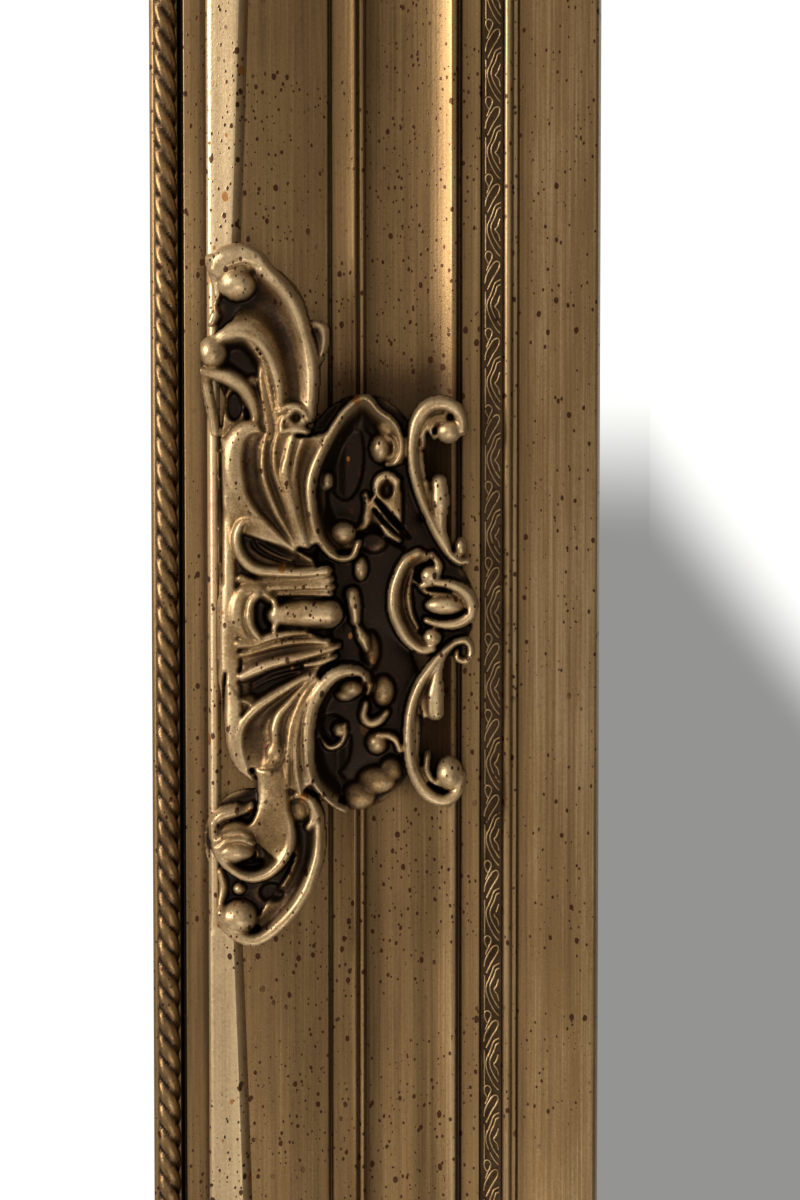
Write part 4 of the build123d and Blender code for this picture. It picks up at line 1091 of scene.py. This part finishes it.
def carve_lower_scroll(relief):
    """Big scroll below the middle, and the field above it."""
    mound, pit, ridge, groove, skin = relief.mound, relief.pit, relief.ridge, relief.groove, relief.skin
    # beads and the middle field
    mound(55.5, 7.75, 1.9, 3.4, 36.6, 4)
    ridge([(53.25, 1), (53.75, -2.25), (54, -6)], (1.5, 1.5, 1.2), (36.6, 37, 36))
    ridge([(54.75, -8), (56, -10.75), (57, -13.5)], (0.8, 1.3, 0.8), (35.4, 36, 35))
    mound(58, -14.25, 2.7, 5.6, 32.6, 2.5)
    # lower scroll
    pit(48, -39, 5, 8.1, 7)
    pit(48, -50.25, 4.3, 3.7, 6)
    skin([(51, -19), (48, -20.25), (45, -23.5), (42.75, -27.75), (41.75, -32.75), (41.5, -37.75),
          (41.75, -42.75), (43, -47.75), (45.5, -51.5), (48.5, -54.5)],
         [(53, -22.75), (50.5, -24), (48.5, -26.5), (47.25, -29.75), (46.75, -33.5), (46.5, -37.75),
          (46.75, -41.5), (47.75, -45.25), (49.25, -48.25), (51, -51.5)], (40.5, 42, 42.4, 42.2, 41, 38.5),
         (33, 30, 28.5, 28, 28, 29), (1, 2.2, 2.6, 2, 1))
    ridge([(56.75, -21.5), (56, -19.75), (54.25, -19), (51, -19), (48, -20.25), (45, -23.5),
           (42.75, -27.75), (41.75, -32.75), (41.5, -37.75), (41.75, -42.75), (43, -47.75), (45.5, -51.5),
           (48.5, -54.5), (51.25, -56.25)], (0.7, 1, 1.4, 1.5, 1.4, 1.2, 0.9, 0.7),
          (39.8, 41.4, 42.4, 42.8, 42.8, 42.2, 40.6, 38.4, 36))
    mound(53, -23.5, 3.5, 2.9, 38.8, 5)
    mound(51.5, -25.25, 3.1, 2.1, 37.4, 4)
    ridge([(57, -20), (57.75, -22.75), (57.25, -25.25)], (0.8, 1, 0.6), (36.6, 37, 36))
    mound(61.25, -24.75, 3.2, 4.3, 36.4, 4.5)
    ridge([(56.75, -27.75), (56.25, -31.25), (58, -33), (60.5, -32.25), (62.25, -30.25)],
          (0.8, 1.1, 1.1, 0.8), (36, 36.6, 36.4, 35.6))
    mound(59.75, -38.25, 3.1, 3.4, 36, 5)
    ridge([(60.25, -36), (63, -36.5), (64.75, -37.75), (65.75, -40.25)], (0.7, 0.9, 0.8), (35.6, 36, 35.2))
    ridge([(44.25, -32.25), (44.75, -36.5), (46.75, -39.5), (49.5, -39), (51.25, -36.25), (51.25, -33.5)],
          (0.5, 0.7, 0.7, 0.6), (33.5, 33.8, 34.2, 34.2))
    mound(49.75, -35, 2, 2.2, 34.4, 3)
    mound(63.5, -45.25, 3.5, 3.5, 33, 3)
    mound(59.5, -48.25, 5.2, 3.9, 33.6, 3)
    mound(55, -52.25, 4.5, 3.9, 32.8, 2.5)
    # slot between the rod and the strip beside it, and the upper scroll's hollow
    groove([(18.9, 41), (18.8, 24), (19, 4)], (0.5, 0.8, 0.5), (35, 34, 35))
    pit(62.3, 28.4, 2.1, 2.6, 3)


def carve_cartouche():
    """Centre cartouche, its parts laid over each other in order, with painted shade and patina in its middle."""
    relief = Relief((14, -97), (87, 97), lambda u, s: moulding_height(u))
    for carve in (carve_ground, carve_top_leaf, carve_shoulder, carve_middle, carve_lower_flutes,
                  carve_tail, carve_upper_scroll, carve_inner_side, carve_lower_scroll):
        carve(relief)
    # Patches of painted shade, with patina, over the deep fields between the parts.
    for stain in ((62.5, 22, 9, 13, 1.0), (56, 1, 8, 19, 0.6), (53, 16, 8, 6, 0.5), (58, -31, 12, 16, 0.9),
                  (57, -49, 13, 8, 0.6), (32, 68, 7, 10, 0.3)):
        relief.stain(*stain)
    return relief


def carve_corner():
    """Corner scroll: a ribbed shell on the mitre with a leaf running out along each side."""
    relief = Relief((14, 14), (142, 142), lambda u, s: moulding_height(np.minimum(u, s)))
    mound, ridge, skin = relief.mound, relief.ridge, relief.skin
    mound(40, 40, 22, 22, 38, 4)
    mound(58, 58, 17, 17, 35, 4)
    mound(31, 78, 10, 25, 37.5, 3)
    mound(50, 76, 12, 14, 32, 3)
    mound(28, 108, 8.5, 17, 37.5, 3)
    # shell
    for tip, top in (((66, 66), 37.5), ((53, 68), 38), ((41, 65), 39.5), ((30, 58), 40.5)):
        middle = (0.45 * tip[0] + 0.55 * 27, 0.45 * tip[1] + 0.55 * 27)
        ridge([(29, 29), middle, tip], (1.0, 2.6, 3.6), (41.5, 42.6, top), 0.8)
        ridge([middle, tip], (0.5, 1.0), (43, top + 0.8))
    ridge([(20, 56), (26, 63), (34, 66), (42, 71), (52, 74), (63, 74), (71, 71), (73, 73)],
          (1.0, 1.4, 1.4, 1.2),
          (40.5, 40.5, 38, 36.5, 36))
    mound(29, 29, 6.5, 6.5, 43.4, 6)
    mound(74, 74, 5, 5, 34.5, 4)
    # leaf and scroll along the side
    skin([(22, 58), (24, 70), (22, 84), (21, 98), (20, 112), (22, 126), (26, 136)],
         [(33, 66), (38, 76), (38, 86), (34, 96), (32, 106), (30, 118), (27, 135)],
         (39, 40, 40, 39, 38), (40, 40.5, 40, 39, 38), (1.5, 2.5, 2, 0.5))
    ridge([(20, 56), (22.5, 68), (21.5, 84), (20.5, 98), (20, 112), (21.5, 126), (26, 136)],
          (1.2, 1.6, 1.4, 0.8),
          (40.5, 41.6, 41.2, 38.5))
    ridge([(24, 62), (29, 76), (28, 90), (26, 104), (25, 118), (26, 134)], (0.6, 1.2, 1.0, 0.6),
          (40, 41.6, 41, 38.5))
    ridge([(34, 67), (40, 75), (41, 84), (37, 92), (31, 93), (29, 87), (33, 83)], (1.2, 1.8, 1.6, 1.0),
          (41, 42.6, 42.4, 41.4))
    mound(34, 87, 3.6, 3.8, 42.8, 5)
    ridge([(37, 94), (35, 102), (36, 110), (33, 117), (28, 118), (27, 113)], (1.0, 1.4, 1.4, 0.9),
          (40.5, 41.4, 41, 40))
    mound(30.5, 111.5, 3.0, 3.2, 41.4, 4.5)
    ridge([(44, 74), (50, 81), (57, 85), (62, 81), (59, 76)], (1.0, 1.5, 1.1), (37.5, 36.5, 34.5))
    mound(56, 79.5, 2.8, 2.8, 35.6, 4)
    relief.height = np.maximum(relief.height, relief.height.T)
    return relief


# ---- put the frame together ---------------------------------------------------------------------

cartouche_mesh = carve_cartouche().mesh("cartouche", GILT_CAST)
corner_mesh = carve_corner().mesh("corner scroll", GILT_CAST, turned=-1)
CORNERS = {"left": "top_left", "top": "top_right", "right": "bottom_right", "bottom": "bottom_left"}

BARE_WOOD = plain_wood("bare frame wood", (0.42, 0.28, 0.16), (0.27, 0.165, 0.085), 0.6)

for side, (_, half_length, _) in SIDES.items():
    node = MOULDING_NODES[side]
    place_on_side(node + "_gilt", extruded(node, MOULDING, half_length, GILT, BARE_WOOD), side, node)
    node = side + "_slip"
    place_on_side(node + "_gilt", extruded(node, SLIP, half_length, GILT_SLIP, BARE_WOOD), side, node)
    node = side + "_swept_edge"
    place_on_side(node + "_gilt", swept_edge(node, half_length, GILT_EDGE), side, node)
    node = side + "_rope"
    place_on_side(node + "_twist", rope(node, half_length, GILT_TRIM), side, node)
    node = side + "_lace"
    place_on_side(node + "_ribbons", lace(node, half_length, GILT_LACE), side, node)
    node = side + "_cartouche"
    place_on_side(node + "_carving", cartouche_mesh, side, node)
    node = CORNERS[side] + "_corner_scroll"
    corner = place_on_side(node + "_carving", corner_mesh, side, node)
    corner.matrix_world = side_matrix(side) @ Matrix.Translation((0, 0, half_length * MM))

# ---- CAD pieces that stay, with their finishes --------------------------------------------------

FINISHES = {
    "silvered_glass": silvering("silvered glass"),
    "rubber": rubber("black rubber"),
    "felt": felt("grey felt"),
    "board": hardboard("brown hardboard"),
    "hinge_brass": metal("hinge brass", (0.55, 0.38, 0.15), 0.35),
    "zinc_steel": metal("zinc-plated steel", (0.55, 0.56, 0.57), 0.38),
    "beech": plain_wood("beech dowel", (0.60, 0.42, 0.25), (0.42, 0.27, 0.14)),
    "stand_wood": plain_wood("stained stand wood", (0.075, 0.042, 0.024), (0.022, 0.012, 0.008), 0.42),
    "gilded_resin": GILT_CAST,
}
for entry in frame["record"]["subparts"]:
    finish = FINISHES.get(entry["material_slot"])
    if finish:
        node = frame["nodes"][entry["node"]]
        node.data.materials.clear()
        node.data.materials.append(finish)

# ---- room, light and camera ---------------------------------------------------------------------


def studio_world():
    """White to the camera; to everything else a soft room, bright on the left, grey below."""
    world = bpy.data.worlds.new("studio")
    world.use_nodes = True
    tree = world.node_tree
    tree.nodes.clear()
    shader = Shader.__new__(Shader)
    shader.tree = tree
    direction = shader.add("SeparateXYZ", {"Vector": shader.add("TexCoord").outputs["Generated"]})
    across, depth, up = direction.outputs
    rise = shader.calc("SUBTRACT", up, shader.spread(across, 0.0737, 0.13, 0.118, 0.0448, smooth=False))
    sky = shader.spread(rise, -0.027, 0.025, 0.32, 1.16)
    ahead = shader.spread(depth, -0.93, -0.3, 1.0, 0.42)
    shade = shader.spread(across, 0.14, 0.8, 1.0, 0.4)
    level = shader.calc("MULTIPLY", shader.calc("MULTIPLY", sky, ahead), shade)
    room = shader.add("Background", {"Color": (1.0, 0.985, 0.96, 1), "Strength": level})
    paper = shader.add("Background", {"Color": (1, 1, 1, 1), "Strength": 1.05})
    seen = shader.add("LightPath").outputs["Is Camera Ray"]
    both = shader.add("MixShader", {0: seen, 1: room.outputs[0], 2: paper.outputs[0]})
    output = shader.add("OutputWorld")
    tree.links.new(both.outputs[0], output.inputs["Surface"])
    bpy.context.scene.world = world


def area_light(name, size, power, at, towards, reflected=True):
    """Rectangular soft light."""
    lamp = bpy.data.lights.new(name, "AREA")
    lamp.shape = "RECTANGLE"
    lamp.size, lamp.size_y = size
    lamp.energy = power
    holder = bpy.data.objects.new(name, lamp)
    bpy.context.scene.collection.objects.link(holder)
    holder.location = at
    holder.visible_glossy = reflected
    holder.rotation_euler = (Vector(towards) - Vector(at)).to_track_quat("-Z", "Y").to_euler()


def studio_floor():
    """Round pale floor."""
    shader = Shader("pale floor")
    cloud = shader.noise(3, 3)
    colour = shader.ramp(cloud, (0.3, (0.86, 0.86, 0.86)), (0.7, (0.90, 0.90, 0.90)))
    material = shader.finish(colour, 0.7, 0.0, shader.noise(160, 2), 0.0002)
    mesh = bpy.data.meshes.new("floor")
    turns = np.radians(np.arange(0, 360, 5))
    rim = [(FLOOR_RADIUS * math.cos(turn), FLOOR_RADIUS * math.sin(turn), 0) for turn in turns]
    mesh.from_pydata(rim, [], [tuple(range(len(rim)))])
    mesh.materials.append(material)
    floor = bpy.data.objects.new("floor", mesh)
    bpy.context.scene.collection.objects.link(floor)


studio_world()
studio_floor()
bpy.context.scene.view_settings.view_transform = "Standard"

# The view is square to the left stile's middle, from a little above its normal.
VIEW_DISTANCE = 880.0
VIEW_RISE = math.radians(3.65)
target = side_matrix("left") @ Vector((65.8 * MM, -30.0 * MM, -0.8 * MM))
back = SETTLE.to_3x3() @ Vector((0, -math.cos(VIEW_RISE), math.sin(VIEW_RISE)))
lens = bpy.data.cameras.new("camera")
lens.lens = 100.0
lens.sensor_fit = "VERTICAL"
lens.sensor_height = 36.0
lens.sensor_width = 24.0
camera = bpy.data.objects.new("camera", lens)
bpy.context.scene.collection.objects.link(camera)
camera.location = target + back * VIEW_DISTANCE * MM
camera.rotation_euler = (-back).to_track_quat("-Z", "Y").to_euler()
bpy.context.scene.camera = camera

left = SETTLE.to_3x3() @ Vector((-1, 0, 0))
ahead = SETTLE.to_3x3() @ Vector((0, -1, 0))
above = SETTLE.to_3x3() @ Vector((0, 0, 1))
area_light("key", (0.6, 1.0), 43, target + left * 1.6 + ahead * 0.6 + above * 0.5, target + above * 0.04)
area_light("low", (1.2, 0.5), 16, target + ahead * 1.5 - above * 1.1 - left * 0.3, target - above * 0.1)
area_light("fill", (2.0, 2.0), 3, target + ahead * 2.6 - left * 0.6 - above * 0.3, target, reflected=False)
